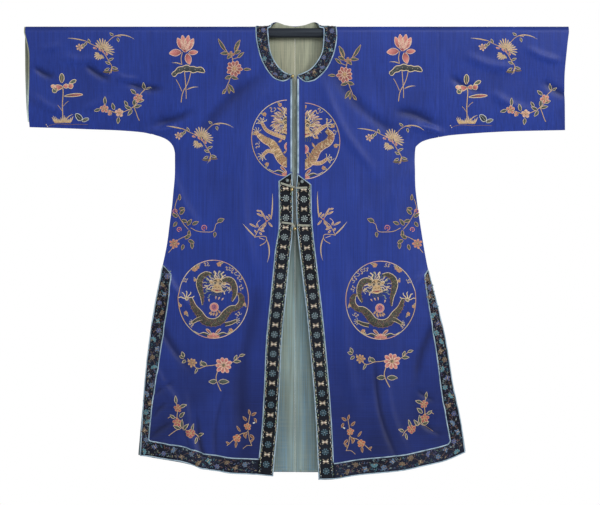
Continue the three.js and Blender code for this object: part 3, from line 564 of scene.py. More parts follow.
def ridges(nodes, coordinate, pitch):
    """Even ridges along a coordinate in millimetres: 0 to 1."""
    wave = nodes.math("SINE", nodes.math("MULTIPLY", coordinate, 2 * math.pi / pitch))
    return nodes.math("MULTIPLY_ADD", wave, 0.5)


def woven(name, base, light, dark, roughness, pitch=0.9, sheen=0.1, streak=0.35, tones_by_height=(), specular=0.25,
          striped=None):
    """Silk with a fine weave, long faint streaks along the warp, slubs, and soft change of colour.
    tones_by_height lists stretches of heights over which it changes, downwards, to another colour; on the
    silk and lining most of these are painted light and shade. striped is the colour of uneven upright
    stripes, which with dark lines between them are painted light and shade of wrinkles."""
    n = Nodes(name, roughness, sheen=sheen, sheen_tint=light, specular=specular)
    place, thread = n.place(), n.thread()
    broad = n.ramp(n.noise(place, 7.0, 3.0), 0.35, 0.68)
    fine = n.ramp(n.noise(n.stretched(place, 420, 420, 7), 1.0, 4.0), 0.32, 0.72)
    tone = n.mix(broad, base, light)
    height = n.add("ShaderNodeSeparateXYZ", Vector=place).outputs[2]
    # Colour steps by height: on the silk and lining mostly painted light and shade, as told at MATERIALS.
    for (low, high), lower in tones_by_height:
        tone = n.mix(n.ramp(height, high, low), tone, n.mix(n.math("MULTIPLY", broad, 0.4), lower, tone))
    if striped is not None:
        # Pale stripes and dark lines on the lining: painted light and shade of its upright wrinkles.
        stripe = n.ramp(n.noise(n.stretched(place, 80, 80, 2.4), 1.0, 3.0), 0.42, 0.62)
        tone = n.mix(n.math("MULTIPLY", stripe, 0.45), tone, striped)
        line = n.ramp(n.noise(n.stretched(place, 150, 150, 2.0), 1.0, 2.0), 0.6, 0.7)
        tone = n.mix(n.math("MULTIPLY", line, 0.55), tone, dark)
    shade = n.mix(n.math("MULTIPLY", fine, streak), tone, dark)
    across = n.noise(n.stretched(place, 8, 8, 1100), 1.0, 2.0)
    shade = n.mix(n.math("MULTIPLY", n.ramp(across, 0.45, 0.8), streak * 0.6), shade, light)
    # The vertex colour tint darkens the cloth where it lies deep in a crease: painted shade in the creases.
    crease_shade = n.add("ShaderNodeVertexColor", {"layer_name": "tint"}).outputs["Color"]
    crease_shade = n.add("ShaderNodeSeparateColor", Color=crease_shade).outputs[0]
    n.base(n.mix(n.math("MULTIPLY", crease_shade, 0.75), shade, tuple(0.45 * v for v in dark)))
    n.rough(n.math("ADD", n.math("MULTIPLY", n.noise(place, 30.0, 2.0), 0.16), roughness - 0.08))
    split = n.add("ShaderNodeSeparateXYZ", Vector=thread)
    warp = ridges(n, split.outputs[0], pitch)
    weft = ridges(n, split.outputs[1], pitch * 0.8)
    cloth = n.math("ADD", n.math("MULTIPLY", warp, weft), n.math("MULTIPLY", fine, 0.6))
    first = n.bump(cloth, 0.35, 0.00012)
    broad, fine = n.noise(n.stretched(place, 38, 38, 22), 1.0, 3.0), n.noise(place, 120.0, 2.0)
    rumple = n.math("ADD", broad, n.math("MULTIPLY", fine, 0.25))
    n.bump(rumple, 0.4, 0.0016, onto=first)
    return n.material


STITCH_PITCH, STITCH_LIFT = 0.55, 0.00022  # mm, m


def stitched(name):
    """Embroidery: each mesh carries its thread's colour, and ridges run along the thread. The colour is
    darkened in stripes in step with the ridges, more in some patches than others: painted shade of the
    stitches.
    """
    n = Nodes(name, 0.46, sheen=0.1)
    tint = n.add("ShaderNodeVertexColor", {"layer_name": "tint"}).outputs["Color"]
    split = n.add("ShaderNodeSeparateXYZ", Vector=n.thread())
    ridge = ridges(n, split.outputs[0], STITCH_PITCH)
    stitch_patches = n.noise(n.place(), 260.0, 3.0)
    # deep is the thread's colour darkened, laid on in step with the ridges as painted shade of the stitches;
    # stitch_patches varies how much of it shows.
    deep = n.mix(0.45, tint, (0.02, 0.018, 0.02), "MULTIPLY")
    n.base(n.mix(n.math("MULTIPLY_ADD", stitch_patches, 0.55), n.mix(n.math("MULTIPLY", ridge, 0.5), tint, deep), tint))
    n.bump(n.math("ADD", ridge, n.math("MULTIPLY", stitch_patches, 0.5)), 0.6, STITCH_LIFT)
    return n.material


def piping_silk(name):
    n = Nodes(name, 0.45, sheen=0.3)
    split = n.add("ShaderNodeSeparateXYZ", Vector=n.thread())
    slant = n.math("ADD", split.outputs[0], split.outputs[1])
    ridge = ridges(n, slant, 1.1)
    worn = n.ramp(n.noise(n.place(), 60.0, 4.0), 0.38, 0.66)
    n.base(n.mix(n.math("MULTIPLY", worn, 0.9), colour(164, 186, 202), colour(104, 130, 148)))
    n.bump(ridge, 0.5, 0.0003)
    return n.material


def stained_wood(name):
    n = Nodes(name, 0.5, specular=0.15)
    grain = n.noise(n.stretched(n.place(), 6, 260, 260), 1.0, 4.0)
    n.base(n.mix(n.ramp(grain, 0.3, 0.7), colour(28, 32, 40), colour(52, 58, 66)))
    n.rough(n.math("MULTIPLY_ADD", grain, 0.25))
    n.bump(grain, 0.35, 0.0004)
    return n.material


def gilt_metal(name):
    n = Nodes(name, 0.3, metallic=1.0)
    worn = n.ramp(n.noise(n.place(), 420.0, 3.0), 0.4, 0.7)
    n.base(n.mix(worn, colour(216, 196, 140), colour(128, 104, 66)))
    n.bump(n.noise(n.place(), 900.0, 2.0), 0.3, 0.0003)
    return n.material


MATERIALS = {
    # Silk: the darker base colour stays only over the top of the fold, as painted shade there. Below it the
    # silk turns a brighter blue, and grows darker towards the hem.
    "silk": woven("blue_silk", colour(30, 42, 92), colour(37, 62, 150), colour(14, 26, 82), 0.44, sheen=0.03,
                  streak=0.5,
                  tones_by_height=[((0.001, 0.013), colour(33, 56, 141)), ((-0.96, -0.56), colour(18, 29, 76))]),
    # Lining: its steps by height are painted light and shade. It is near white from z -0.09 m, where the
    # narrow front gap lies in shadow (painted light). It is dark from -0.37 m to -0.46 m, around the straps
    # (painted shade). It is paler again from -0.56 m, where the gap is shadowed (painted light), then teal
    # towards the hem. Its stripes are painted light and shade of wrinkles.
    "lining": woven("pale_lining", colour(146, 150, 130), colour(166, 164, 140), colour(100, 108, 96), 0.5,
                    pitch=1.2,
                    streak=0.75, striped=colour(158, 168, 146),
                    tones_by_height=[((-0.15, -0.09), colour(226, 244, 240)), ((-0.37, -0.34), colour(84, 102, 108)),
                           ((-0.56, -0.46), colour(146, 182, 194)), ((-0.85, -0.65), colour(98, 132, 152))]),
    "front_border": woven("black_border", colour(14, 16, 22), colour(28, 32, 42), colour(8, 9, 13), 0.5,
                          specular=0.12),
    "side_border": woven("navy_border", colour(16, 19, 32), colour(32, 38, 58), colour(9, 10, 16), 0.5,
                         specular=0.12),
    "piping": piping_silk("light_piping"),
    "strap": woven("pale_strap", colour(170, 172, 160), colour(190, 190, 176), colour(120, 124, 118), 0.5),
    "thread": stitched("thread"),
    "wood": stained_wood("stained_wood"),
    "gilt": gilt_metal("gilt"),
}


# ---------------------------------------------------------------- flat needlework
FINE, SUNK = 1.3, 0.1  # threads thinner than FINE have fewer sides, and all are sunk a little in the cloth


class Needlework:
    """Ribbons, leaves and discs drawn flat in (x, z) on one face, hung together as one mesh."""

    def __init__(self, face, ground=SILK):
        self.face, self.ground = face, ground
        self.points, self.heights, self.tints, self.uvs, self.faces = [], [], [], [], []
        self.count = 0

    def grid(self, points, heights, tints, uvs):
        """points is rows by columns by 2. The outside is where x goes right as z goes up."""
        rows, columns = points.shape[:2]
        self.points.append(points.reshape(-1, 2))
        self.heights.append(np.broadcast_to(heights, (rows, columns)).reshape(-1))
        self.tints.append(np.broadcast_to(tints, (rows, columns, 3)).reshape(-1, 3))
        self.uvs.append(uvs.reshape(-1, 2))
        row = rows // 2
        a, b, c = points[max(row - 1, 0), 0], points[min(row + 1, rows - 1), 0], points[row, -1]
        turn = (b[0] - a[0]) * (c[1] - a[1]) - (b[1] - a[1]) * (c[0] - a[0])
        self.faces.append(grid_faces(rows, columns, self.count, turned=turn < 0))
        self.count += rows * columns

    def ribbon(self, line, across, high, tints, round_=None, closed=False):
        """A strip along a line, with a height at each place across it. across may change along the line."""
        if closed:
            line = np.vstack([line, line[:1]])
        ahead = np.gradient(line, axis=0)
        if closed:
            ahead[0] = ahead[-1] = line[1] - line[-2]
        ahead /= np.linalg.norm(ahead, axis=1, keepdims=True) + 1e-9
        side = np.stack([-ahead[:, 1], ahead[:, 0]], axis=1)
        across = np.broadcast_to(across, (len(line), np.shape(across)[-1]))
        points = line[:, None, :] + side[:, None, :] * across[..., None]
        uvs = np.stack(np.broadcast_arrays(run_lengths(line)[:, None], across if round_ is None else round_),
                       axis=-1)
        self.grid(points, high, tints, uvs)

    def cord(self, line, width, height, tint, closed=False, double=False, lift=0.0):
        """A thread laid along a line; double is a couched pair side by side."""
        if double:
            across, high = np.array([-0.5, -0.3, 0.0, 0.3, 0.5]), np.array([0, 1, 0.45, 1, 0])
        elif width < FINE:
            across, high = np.array([-0.5, 0.0, 0.5]), np.array([0, 1, 0])
        else:
            across, high = np.array([-0.5, -0.25, 0.25, 0.5]), np.array([0, 1, 1, 0])
        high = lift - SUNK + high * (height + SUNK)
        self.ribbon(np.asarray(line, float), across * width, high, np.asarray(tint), closed=closed)

    def piping(self, line, closed, width=PIPING):
        """A half round cord."""
        angle = np.linspace(0, np.pi, 7)
        across, high = -np.cos(angle) * width / 2, np.sin(angle) * PIPING_HIGH
        self.ribbon(np.asarray(line, float), across, high - SUNK, (1, 1, 1), angle * width / 2, closed)

    def leaf(self, spine, widths, height, root, tip=None, columns=5):
        """A filled shape along a spine, domed, its colour running from root to tip."""
        spine = np.asarray(spine, float)
        across = np.linspace(-0.5, 0.5, columns)
        dome = 1 - (2 * np.abs(across)) ** 2.5
        share = np.linspace(0, 1, len(spine))[:, None, None]
        tints = np.asarray(root) * (1 - share) + np.asarray(root if tip is None else tip) * share
        widths = np.broadcast_to(widths, len(spine))[:, None]
        self.ribbon(spine, across * widths, (height + SUNK) * dome - SUNK, tints)

    def disc(self, centre, radius, height, inner, outer=None, spokes=12):
        angle = np.linspace(0, 2 * np.pi, spokes + 1)
        rings = np.array([0.02, 0.6, 1.0]) * radius
        unit = np.stack([np.cos(angle), np.sin(angle)], axis=1)
        points = np.asarray(centre, float) + unit[:, None, :] * rings[None, :, None]
        heights = (height + SUNK) * np.array([1, 0.8, 0]) - SUNK
        share = np.array([0, 0.6, 1])[None, :, None]
        tints = np.asarray(inner) * (1 - share) + np.asarray(inner if outer is None else outer) * share
        uvs = np.stack(np.broadcast_arrays(rings[None, :], angle[:, None] * radius), axis=-1)
        self.grid(points, heights, tints, uvs)

    def cut(self, beyond, drawn_to):
        """Cuts the work off along a line: beyond gives each point's distance on the kept side."""
        points, faces = np.vstack(self.points), np.vstack(self.faces)
        kept = beyond(points) > 0
        self.faces = [faces[kept[faces].any(axis=1)]]
        self.points = [drawn_to(points)]

    def piece(self, name, material, slot):
        points = np.vstack(self.points)
        s = QUARTER - points[:, 1] if self.face == "front" else points[:, 1] - QUARTER
        places = hang(points[:, 0], s, self.ground + np.concatenate(self.heights))
        faces = np.vstack(self.faces)
        if self.face == "back":
            faces = faces[:, ::-1]
        made = mesh_piece(name, places, faces, MATERIALS[material], np.vstack(self.tints),
                          np.vstack(self.uvs))
        return made


# ---------------------------------------------------------------- pieces of the coat
# Wrinkles of the lining: depth, and for each of two waves its share, length, start, sway and sway's length.
PLEAT_DEPTH, PLEATS = 0.55, ((1.0, 3.9, 0, 1.2, 210), (0.8, 2.3, 2, 0.9, 150))
PLEATED_BELOW, PLEATED_WITHIN = (QUARTER + 10, QUARTER + 140), (60, 140)


def pleats(x, s):
    """Soft upright wrinkles of the lining, inwards only, where it hangs free."""
    waves = [share * np.sin(x / long + start + sway * np.sin(s / slow)) for share, long, start, sway,
             slow in PLEATS]
    least = sum(share for share, *_ in PLEATS) - sum(waves)
    return -PLEAT_DEPTH * least * smooth(*PLEATED_BELOW, np.abs(s)) * (1 - smooth(*PLEATED_WITHIN, np.abs(x)))


def clothe(name, node, place, depth, material, inward=False):
    """One sheet of the coat: its shell, the node it stands for and its cut."""
    piece = shell(name, *place, depth, MATERIALS[material], inward)
    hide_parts(node)


def build_cloth():
    for side in SIGN:
        clothe(f"silk_body_{side}", f"body_{side}", body_grid(side), SILK, "silk")
        clothe(f"silk_sleeve_{side}", f"sleeve_{side}", sleeve_grid(side), SILK, "silk")
        place = body_grid(side, coarse=1.5, drawn_in=0.8, seam_in=12)
        depth = turned_up(place[0].shape, LINING, SILK - LINING_UNDER) + pleats(*place)
        clothe(f"silk_lining_{side}", f"lining_{side}", place, depth, "lining", inward=True)
        place = sleeve_grid(side, coarse=1.4, drawn_in=-3 if side == "right" else 1, seam_in=13)
        depth = turned_up(place[0].shape, LINING, LINING)
        depth[:, -1] = SILK - LINING_UNDER
        clothe(f"silk_sleeve_lining_{side}", f"sleeve_lining_{side}", place, depth, "lining",
               inward=True)


def build_rod():
    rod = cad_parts["rod"]
    for held in rod.material_slots:
        held.link = "OBJECT"
        held.material = MATERIALS["wood"]


# ---------------------------------------------------------------- borders
def resampled(line, count):
    """A line with count points, evenly along it."""
    line = np.asarray(line, float)
    along = run_lengths(line)
    at = np.linspace(0, along[-1], count)
    return np.stack([np.interp(at, along, line[:, 0]), np.interp(at, along, line[:, 1])], axis=1)


def rails(*stretches, step=6.0):
    """Two edges of a strip with matching points, from pairs of lines that share their corners."""
    outer, inner = [], []
    for first, second in stretches:
        count = max(3, round(run_lengths(first)[-1] / step))
        outer.append(resampled(first, count)[1 if outer else 0:])
        inner.append(resampled(second, count)[1 if inner else 0:])
    return np.vstack(outer), np.vstack(inner)


def between(run, high, low):
    """The stretch of a line that falls from one height to another."""
    run = np.asarray(run)
    inside = run[(run[:, 1] < high) & (run[:, 1] > low)]
    x = [x_along(run, z) for z in (high, low)]
    return np.vstack([[x[0], high], inside, [x[1], low]])


def beside_front_border(side, z):
    sign = SIGN[side]
    return x_along(FRONT_EDGE[side], z) + sign * (x_along(BORDER_WIDTH[side], z) + 0.3)


def front_border_rails(side):
    sign = SIGN[side]
    edge = curved(FRONT_EDGE[side], 6)
    top, panel_top = BORDER_TOP[side]
    inward = lambda z: sign * x_along(BORDER_WIDTH[side], z)
    hem_x = edge[-1][0] + float(inward(edge[-1][1]))
    hem_z = float(x_along([(z, x) for x, z in HEM["front"][side]], hem_x))
    outer = between(edge, top, edge[-1][1] + 0.01)
    inner = between(edge, panel_top, edge[-1][1] + 0.01)
    inner[:, 0] += inward(inner[:, 1])
    inner[:, 1] = panel_top + (inner[:, 1] - panel_top) * (panel_top - hem_z) / (panel_top - inner[-1, 1])
    return rails((outer, inner))


def side_border_rails(side, face):
    """Down the slit and along the hem, with a mitred corner."""
    sign = SIGN[side]
    slit_points = SLIT[face][side]
    slit = curved([UNDERARM[side][-1], *slit_points], 6)
    hem = curved(HEM[face][side], 6)
    if face == "front":
        inner = curved(SIDE_BORDER_INNER[side], 6)
        end = float(beside_front_border(side, FRONT_EDGE[side][-1][1]))
    else:
        x = [x - sign * BACK_SLIT_BORDER for x, z in slit_points[:-1]]
        top = UNDERARM[side][-1]
        corner = slit_points[-1][0] - sign * BACK_SLIT_BORDER
        inner = curved([(top[0] - sign * 27, top[1] - 26), *zip(x, [z for _, z in slit_points[:-1]]),
                        (corner, slit_points[-1][1] + HEM_BORDER - 8)], 6)
        end = sign * 0.15
    keep = hem[(hem[:, 0] - end) * sign > 0]
    keep = np.vstack([keep, [end, float(x_along(hem[:, ::-1], end))]])
    above = keep[(inner[-1][0] - keep[:, 0]) * sign > 0] + (0, HEM_BORDER)
    above = np.vstack([inner[-1], above])
    if face == "front":
        above[-1][0] = beside_front_border(side, above[-1][1])
    return rails((slit, inner), (keep, above))


def collar_rails():
    """Round the neck, from the right front's end to the left front's, z going on up past the fold."""
    def ring(table):
        rounds = {side: [(x, QUARTER - s) for x, s in table[side]["round"]] for side in table}
        return [table["right"]["front"], rounds["right"], rounds["left"][::-1][1:], table["left"]["front"]]
    neck_right, round_right, round_left, neck_left = ring(NECK)
    inner = curved([*neck_right, *round_right, *round_left, *neck_left[::-1]], 3)
    out_right, out_round_right, out_round_left, out_left = ring(COLLAR_OUTER)
    outer = curved([*out_right, *out_round_right, *out_round_left, *out_left[::-1]], 3)
    return rails((outer, inner), step=3.5)


class Band:
    """A strip of border between two rails, on one face, with places given along and across it."""

    def __init__(self, outer, inner, face):
        self.outer, self.inner, self.face = outer, inner, face
        self.mid = (outer + inner) / 2
        self.along = run_lengths(self.mid)
        self.length = float(self.along[-1])
        self.width = float(np.median(np.linalg.norm(outer - inner, axis=1)))

    def _at(self, line, t):
        return np.array([np.interp(t, self.along, line[:, 0]), np.interp(t, self.along, line[:, 1])])

    def spot(self, t, across=0.0):
        """A point, and the unit directions along and across (towards the inner rail)."""
        outer, inner = self._at(self.outer, t), self._at(self.inner, t)
        ahead = self._at(self.mid, t + 2) - self._at(self.mid, t - 2)
        ahead /= np.linalg.norm(ahead)
        side = np.array([-ahead[1], ahead[0]])
        if side @ (inner - outer) < 0:
            side = -side
        centre = (outer + inner) / 2
        wide = (inner - outer) @ side
        return centre + side * across * wide, ahead, side

    def frame(self, open_below=None, open_end=False):
        """The middle line of the piping round the band. It may leave out the inner rail below a height,
        or the far end, where the band meets another."""
        inset = PIPING / 2
        share = inset / self.width
        outer = self.outer + (self.inner - self.outer) * share
        inner = self.inner + (self.outer - self.inner) * share
        for line in (outer, inner):
            for end, next_ in ((0, 1), (-1, -2)):
                toward = line[next_] - line[end]
                if not (end and open_end):
                    line[end] += toward / np.linalg.norm(toward) * inset
        if open_below is None:
            return np.vstack([inner[::-1], outer])
        return np.vstack([inner[inner[:, 1] > open_below][::-1], outer, self.inner[-1] + (0, inset)])

    def place(self, points, depth):
        s = QUARTER - points[..., 1] if self.face == "front" else points[..., 1] - QUARTER
        return hang(points[..., 0], s, depth)

    def ground(self, name, node, material, slot, open_below=-9999.0):
        """The border's cloth, from rail to rail, tucked under its piping."""
        across = np.linspace(0, 1, 8)
        outer, inner = self.outer, self.inner
        tuck = TUCK / self.width
        far = np.where(inner[:, 1] > open_below, 1 - tuck, 1.0)
        share = tuck + across[None, :] * (far - tuck)[:, None]
        points = outer[:, None, :] + (inner - outer)[:, None, :] * share[:, :, None]
        high = BORDER + 0.3 * np.sin(np.pi * across)[None, :] * np.ones((len(outer), 1))
        a, b = points[1, 0] - points[0, 0], points[0, -1] - points[0, 0]
        left = (a[0] * b[1] - a[1] * b[0] > 0) != (self.face == "back")
        faces = grid_faces(len(outer), len(across), turned=not left)
        uvs = np.stack(np.broadcast_arrays(self.along[:, None], share * self.width), axis=-1)
        piece = mesh_piece(name, self.place(points, high).reshape(-1, 3), faces, material,
                           uvs=uvs.reshape(-1, 2))
        solid = piece.modifiers.new("thickness", "SOLIDIFY")
        solid.thickness = BORDER_THICK * MM
        solid.offset = -1
        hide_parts(node)
        return piece


def piping(name, node, line, face, closed=True, width=PIPING):
    """A covered cord laid half sunk along a line of (x, z), closed where it comes back to its start."""
    work = Needlework(face, PIPING_BASE)
    work.piping(line, closed, width)
    piece = work.piece(name, "piping", "piping")
    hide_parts(node)
    return piece


def build_borders():
    bands = {}
    for side in SIGN:
        band = Band(*front_border_rails(side), "front")
        meeting = band.inner[-1][1] + HEM_BORDER - PIPING / 2
        band.ground(f"front_band_{side}", f"front_border_{side}", MATERIALS["front_border"], "front_border",
                    meeting)
        piping(f"front_cord_{side}", f"front_piping_{side}", band.frame(open_below=meeting), "front",
               closed=False)
        bands[f"front_{side}"] = band
        for face in FACES:
            band = Band(*side_border_rails(side, face), face)
            band.ground(f"side_band_{face}_{side}", f"side_border_{face}_{side}", MATERIALS["side_border"],
                        "side_border")
            meets = face == "front"
            piping(f"side_cord_{face}_{side}", f"side_piping_{face}_{side}", band.frame(open_end=meets), face,
                   not meets)
            bands[f"{face}_side_{side}"] = band
        sign = SIGN[side]
        edge = between(curved(FRONT_EDGE[side], 6), -111, BORDER_TOP[side][0]) + (sign * EDGE_PIPING / 2, 0)
        piping(f"edge_cord_{side}", f"edge_piping_{side}", edge, "front", closed=False, width=EDGE_PIPING)
    band = Band(*collar_rails(), "front")
    band.ground("collar_cloth", "collar_band", MATERIALS["side_border"], "side_border")
    piping("collar_cord", "collar_piping", band.frame(), "front")
    bands["collar"] = band
    return bands


# ---------------------------------------------------------------- straps and buttons
STRAP_WIDTH, STRAP_DEPTH, BUTTON_RADIUS = 4.5, 4.1, 4.6
STRAPS = {"strap_right_chest": [(-34, -361), (-1.6, -371)], "strap_left_chest": [(29, -371.5), (2.2, -372.5)],
          "strap_right_waist": [(-31, -455), (-5.5, -458.5), (-0.4, -470)],
          "strap_left_waist": [(35, -462.5), (5, -462)]}
BUTTONS = {"button_neck": (-5.5, -105.5, 4.0), "button_chest": (-7.6, -376, 4.0),
           "button_waist": (-0.4, -470.5, 5.9)}


def build_straps():
    """Each strap is a doubled cord of silk, stitched down along its middle and across its ends."""
    tint = colour(172, 174, 160)
    for node, path in STRAPS.items():
        work = Needlework("front", STRAP_DEPTH)
        line = resampled(path, 14)
        aside = directions(line)[1]
        for offset in (-1, 1):
            work.cord(line + aside * offset * STRAP_WIDTH / 4, STRAP_WIDTH / 2, 1.8, tint)
        for i in range(1, 13):
            work.cord([line[i] - aside[i] * 0.7, line[i] + aside[i] * 0.7], 0.5, 1.5, colour(110, 112, 104))
        for i in (0, -1):
            across = aside[i] * STRAP_WIDTH / 2
            work.cord([line[i] - across, line[i], line[i] + across], 1.0, 2.0, colour(150, 152, 140))
        piece = work.piece(node.replace("strap", "loop"), "thread", "strap")
        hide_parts(node)


def turned_ball(radius, shank, lobes=8):
    """A gilt ball with lobes and a beaded belt, its shank below it, about +Z in millimetres."""
    rows, columns = 22, 32
    angle = np.linspace(0.25, math.pi, rows)
    around = np.arange(columns) * 2 * np.pi / columns
    lobed = 1 - 0.05 * (1 + np.cos(lobes * around))[None, :] * np.sin(angle)[:, None] ** 2 / 2
    belt = 1 + 0.05 * np.exp(-(((angle - math.pi / 2) / 0.12) ** 2))[:, None]
    ring = radius * np.sin(angle)[:, None] * lobed * belt / 1.05
    high = shank + radius - radius * np.cos(angle)[:, None] * np.ones((1, columns))
    ball = np.stack([ring * np.cos(around), ring * np.sin(around), high], axis=-1)
    foot = np.stack([1.5 * np.cos(around), 1.5 * np.sin(around), np.zeros(columns)], axis=-1)
    points = np.vstack([foot, ball.reshape(-1, 3)])
    index = np.arange((rows + 1) * columns).reshape(rows + 1, columns)
    index = np.hstack([index, index[:, :1]])
    return points, np.stack([index[:-1, :-1], index[:-1, 1:], index[1:, 1:], index[1:, :-1]],
                            axis=-1).reshape(-1, 4)


def build_buttons():
    for node, (x, z, seat) in BUTTONS.items():
        foot, above = (hang(x, QUARTER - z, seat + high) for high in (0.3, 1.3))
        outward = (above - foot) / np.linalg.norm(above - foot)
        right = np.cross([0, 0, 1], outward)
        right /= np.linalg.norm(right)
        frame_ = np.array([right, np.cross(outward, right), outward])
        points, faces = turned_ball(BUTTON_RADIUS, 1.4)
        piece = mesh_piece(node.replace("button", "ball"), foot + points * MM @ frame_, faces,
                           MATERIALS["gilt"])
        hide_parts(node)


# ---------------------------------------------------------------- embroidery
GOLD, PALE_GOLD, DEEP_GOLD = colour(196, 162, 116), colour(216, 194, 158), colour(140, 102, 68)
PINK, ROSE, RED, BLUSH = colour(214, 136, 126), colour(176, 88, 88), colour(134, 50, 56), colour(
    222, 186, 164)
GREEN, DARK_GREEN, BROWN = colour(74, 86, 72), colour(32, 42, 50), colour(82, 62, 56)
WHITE, BEIGE, GREY_BLUE = colour(214, 214, 204), colour(196, 178, 148), colour(98, 122, 142)
THREAD = 0.7


def turned(points, angle):
    c, s = math.cos(angle), math.sin(angle)
    return np.asarray(points, float) @ np.array([[c, s], [-s, c]])


def arc(radius, start, end, step=2.0, centre=(0, 0)):
    """Points round a circle, angles in degrees anticlockwise from the right."""
    count = max(3, int(abs(end - start) / 360 * 2 * math.pi * radius / step) + 1)
    angle = np.radians(np.linspace(start, end, count))
    return np.stack([centre[0] + radius * np.cos(angle), centre[1] + radius * np.sin(angle)], axis=1)


class Brush:
    """Draws on needlework in its own place, turned and sized, in millimetres."""

    def __init__(self, work, origin=(0, 0), right=(1, 0), up=(0, 1)):
        self.work, self.origin = work, np.asarray(origin, float)
        self.frame = np.array([right, up], float)
        self.size = math.sqrt(abs(np.linalg.det(self.frame)))

    def to(self, points):
        return self.origin + np.asarray(points, float) @ self.frame

    def at(self, x, z, turn=0.0, size=1.0, flip=False):
        """A brush placed within this one. The turn is in degrees anticlockwise."""
        right, up = turned([(size * (-1 if flip else 1), 0), (0, size)], math.radians(turn))
        return Brush(self.work, self.to([(x, z)])[0], right @ self.frame, up @ self.frame)

    def cord(self, line, width, tint, height=THREAD, **more):
        self.work.cord(self.to(line), width, height, tint, **more)

    def stem(self, points, width, tint=GOLD):
        self.cord(curved(points, 2.4 / self.size), width * 0.75, tint, double=True)

    def fill(self, spine, widths, root, tip=None, height=0.8, **more):
        self.work.leaf(self.to(spine), np.asarray(widths) * self.size, height, root, tip, **more)

    def disc(self, radius, inner, outer=None, height=0.9, spokes=12):
        self.work.disc(self.origin, radius * self.size, height, inner, outer, spokes)

    def lobe(self, length, width, root, tip, edge=GOLD, edge_width=1.1, bend=0.0, blunt=1.6, vein=None,
             height=0.8,
             steps=9, point=0.5):
        """A petal or leaf that grows up from the origin, filled and edged with a couched thread."""
        share = np.linspace(0, 1, steps)
        spine = np.stack([bend * length * share ** 2, length * share], axis=1)
        widths = width * np.maximum(np.sin(np.pi * share ** blunt), 0) ** point
        widths[0], widths[-1] = 0.12 * width, 0.12 * width
        self.fill(spine, widths * 0.9, root, tip, height)
        side = directions(spine)[1] * widths[:, None] / 2
        self.cord(np.vstack([spine + side, (spine - side)[::-1]]), edge_width, edge, height=THREAD + 0.25)
        if vein is not None:
            self.cord(spine[1:-1], edge_width * 0.8, vein, height=height + 0.5)

    def dots(self, places, radius, tint, height=0.9):
        for x, z in places:
            self.at(x, z).disc(radius, tint, height=height, spokes=7)


def leaf(brush, length=16.0, width=7.0, bend=0.1, edge=PALE_GOLD, dark=DARK_GREEN, light=GREEN):
    brush.lobe(length * 0.96, width * 0.82, dark, light, edge, 1.25, bend=bend, blunt=0.85, vein=light,
               point=0.9)


def leaves(brush, rows, **look):
    """Leaves from a table: place, turn, and their length and width where they differ."""
    for x, z, turn, *size in rows:
        leaf(brush.at(x, z, turn), *size, **look)


def blade(brush, length, bend, width=2.4, tint=GOLD):
    """One long thin leaf of grass, tapering."""
    share = np.linspace(0, 1, 12)
    spine = np.stack([bend * length * share ** 2, length * share * (1 - 0.35 * abs(bend) * share)], axis=1)
    widths = width * np.minimum(1, 3.2 * share + 0.35) * (1 - share ** 3) + 0.3
    brush.fill(spine, widths, tint, PALE_GOLD, THREAD)
    brush.cord(spine[1:-1], 0.6, DEEP_GOLD, height=THREAD + 0.3)


def plum_flower(brush, radius=9.0, root=RED, tip=PINK, edge=PALE_GOLD, petals=5):
    for i in range(petals):
        petal = brush.at(0, 0, i * 360 / petals)
        petal.at(0, radius * 0.14).lobe(radius * (0.66 + 0.1 * (i % 2)), radius * 0.6, root, tip, edge, 1.15)
    brush.disc(radius * 0.22, GOLD, DEEP_GOLD, height=1.4)
    brush.dots([(radius * 0.42 * math.cos(a), radius * 0.42 * math.sin(a)) for a in np.arange(0, 6.2, 0.7)],
               0.7, PALE_GOLD, 1.5)


def daisy(brush, radius=10.0, petals=9, root=RED, tip=BLUSH, edge=PALE_GOLD, core=GOLD):
    for i in range(petals):
        brush.at(0, 0, i * 360 / petals + 12).at(0, radius * 0.24).lobe(
            radius * (0.68 + 0.12 * (i % 2)), radius * 0.42, root, tip, edge, min(1.4, radius * 0.1))
    brush.disc(radius * 0.26, core, DEEP_GOLD, height=1.4)


def chrysanthemum(brush, radius=24.0):
    """Two fans of narrow looped petals, the larger upwards and right, pink between them."""
    for x, z, first, last, count, far in ((1, 0, -118, 62, 13, 1.02), (-5, -9, 84, 214, 8, 0.66),
                                          (2, 1, -96, 40, 7, 0.5)):
        for i in range(count):
            angle = first + (last - first) * i / (count - 1)
            reach = far * (1 + 0.16 * math.sin(math.radians(angle * 3 + 40)))
            petal = brush.at(x, z, angle).at(0, radius * 0.14)
            petal.lobe(radius * (reach - 0.14), radius * 0.105, DEEP_GOLD, (PALE_GOLD, BEIGE, BLUSH)[i % 3],
                       PALE_GOLD, 0.9)
    for x, z, turn in ((-9, 5, 60), (-3, -4, 40), (4, -9, 30), (-14, 2, 70), (8, -5, 200)):
        brush.at(x, z, turn).lobe(9, 3.6, RED, PINK, BLUSH, 1.0)
    brush.disc(radius * 0.12, GOLD, DEEP_GOLD, height=1.5)


def bud(brush, size=7.0, root=ROSE, tip=BLUSH):
    for turn in (-34, 34, 0):
        brush.at(0, 0, turn).lobe(size, size * 0.5, root, tip, PALE_GOLD, blunt=1.0)
    for turn in (-62, 62):
        brush.at(0, 0, turn).lobe(size * 0.55, size * 0.3, DARK_GREEN, GREEN, GOLD, 0.8)


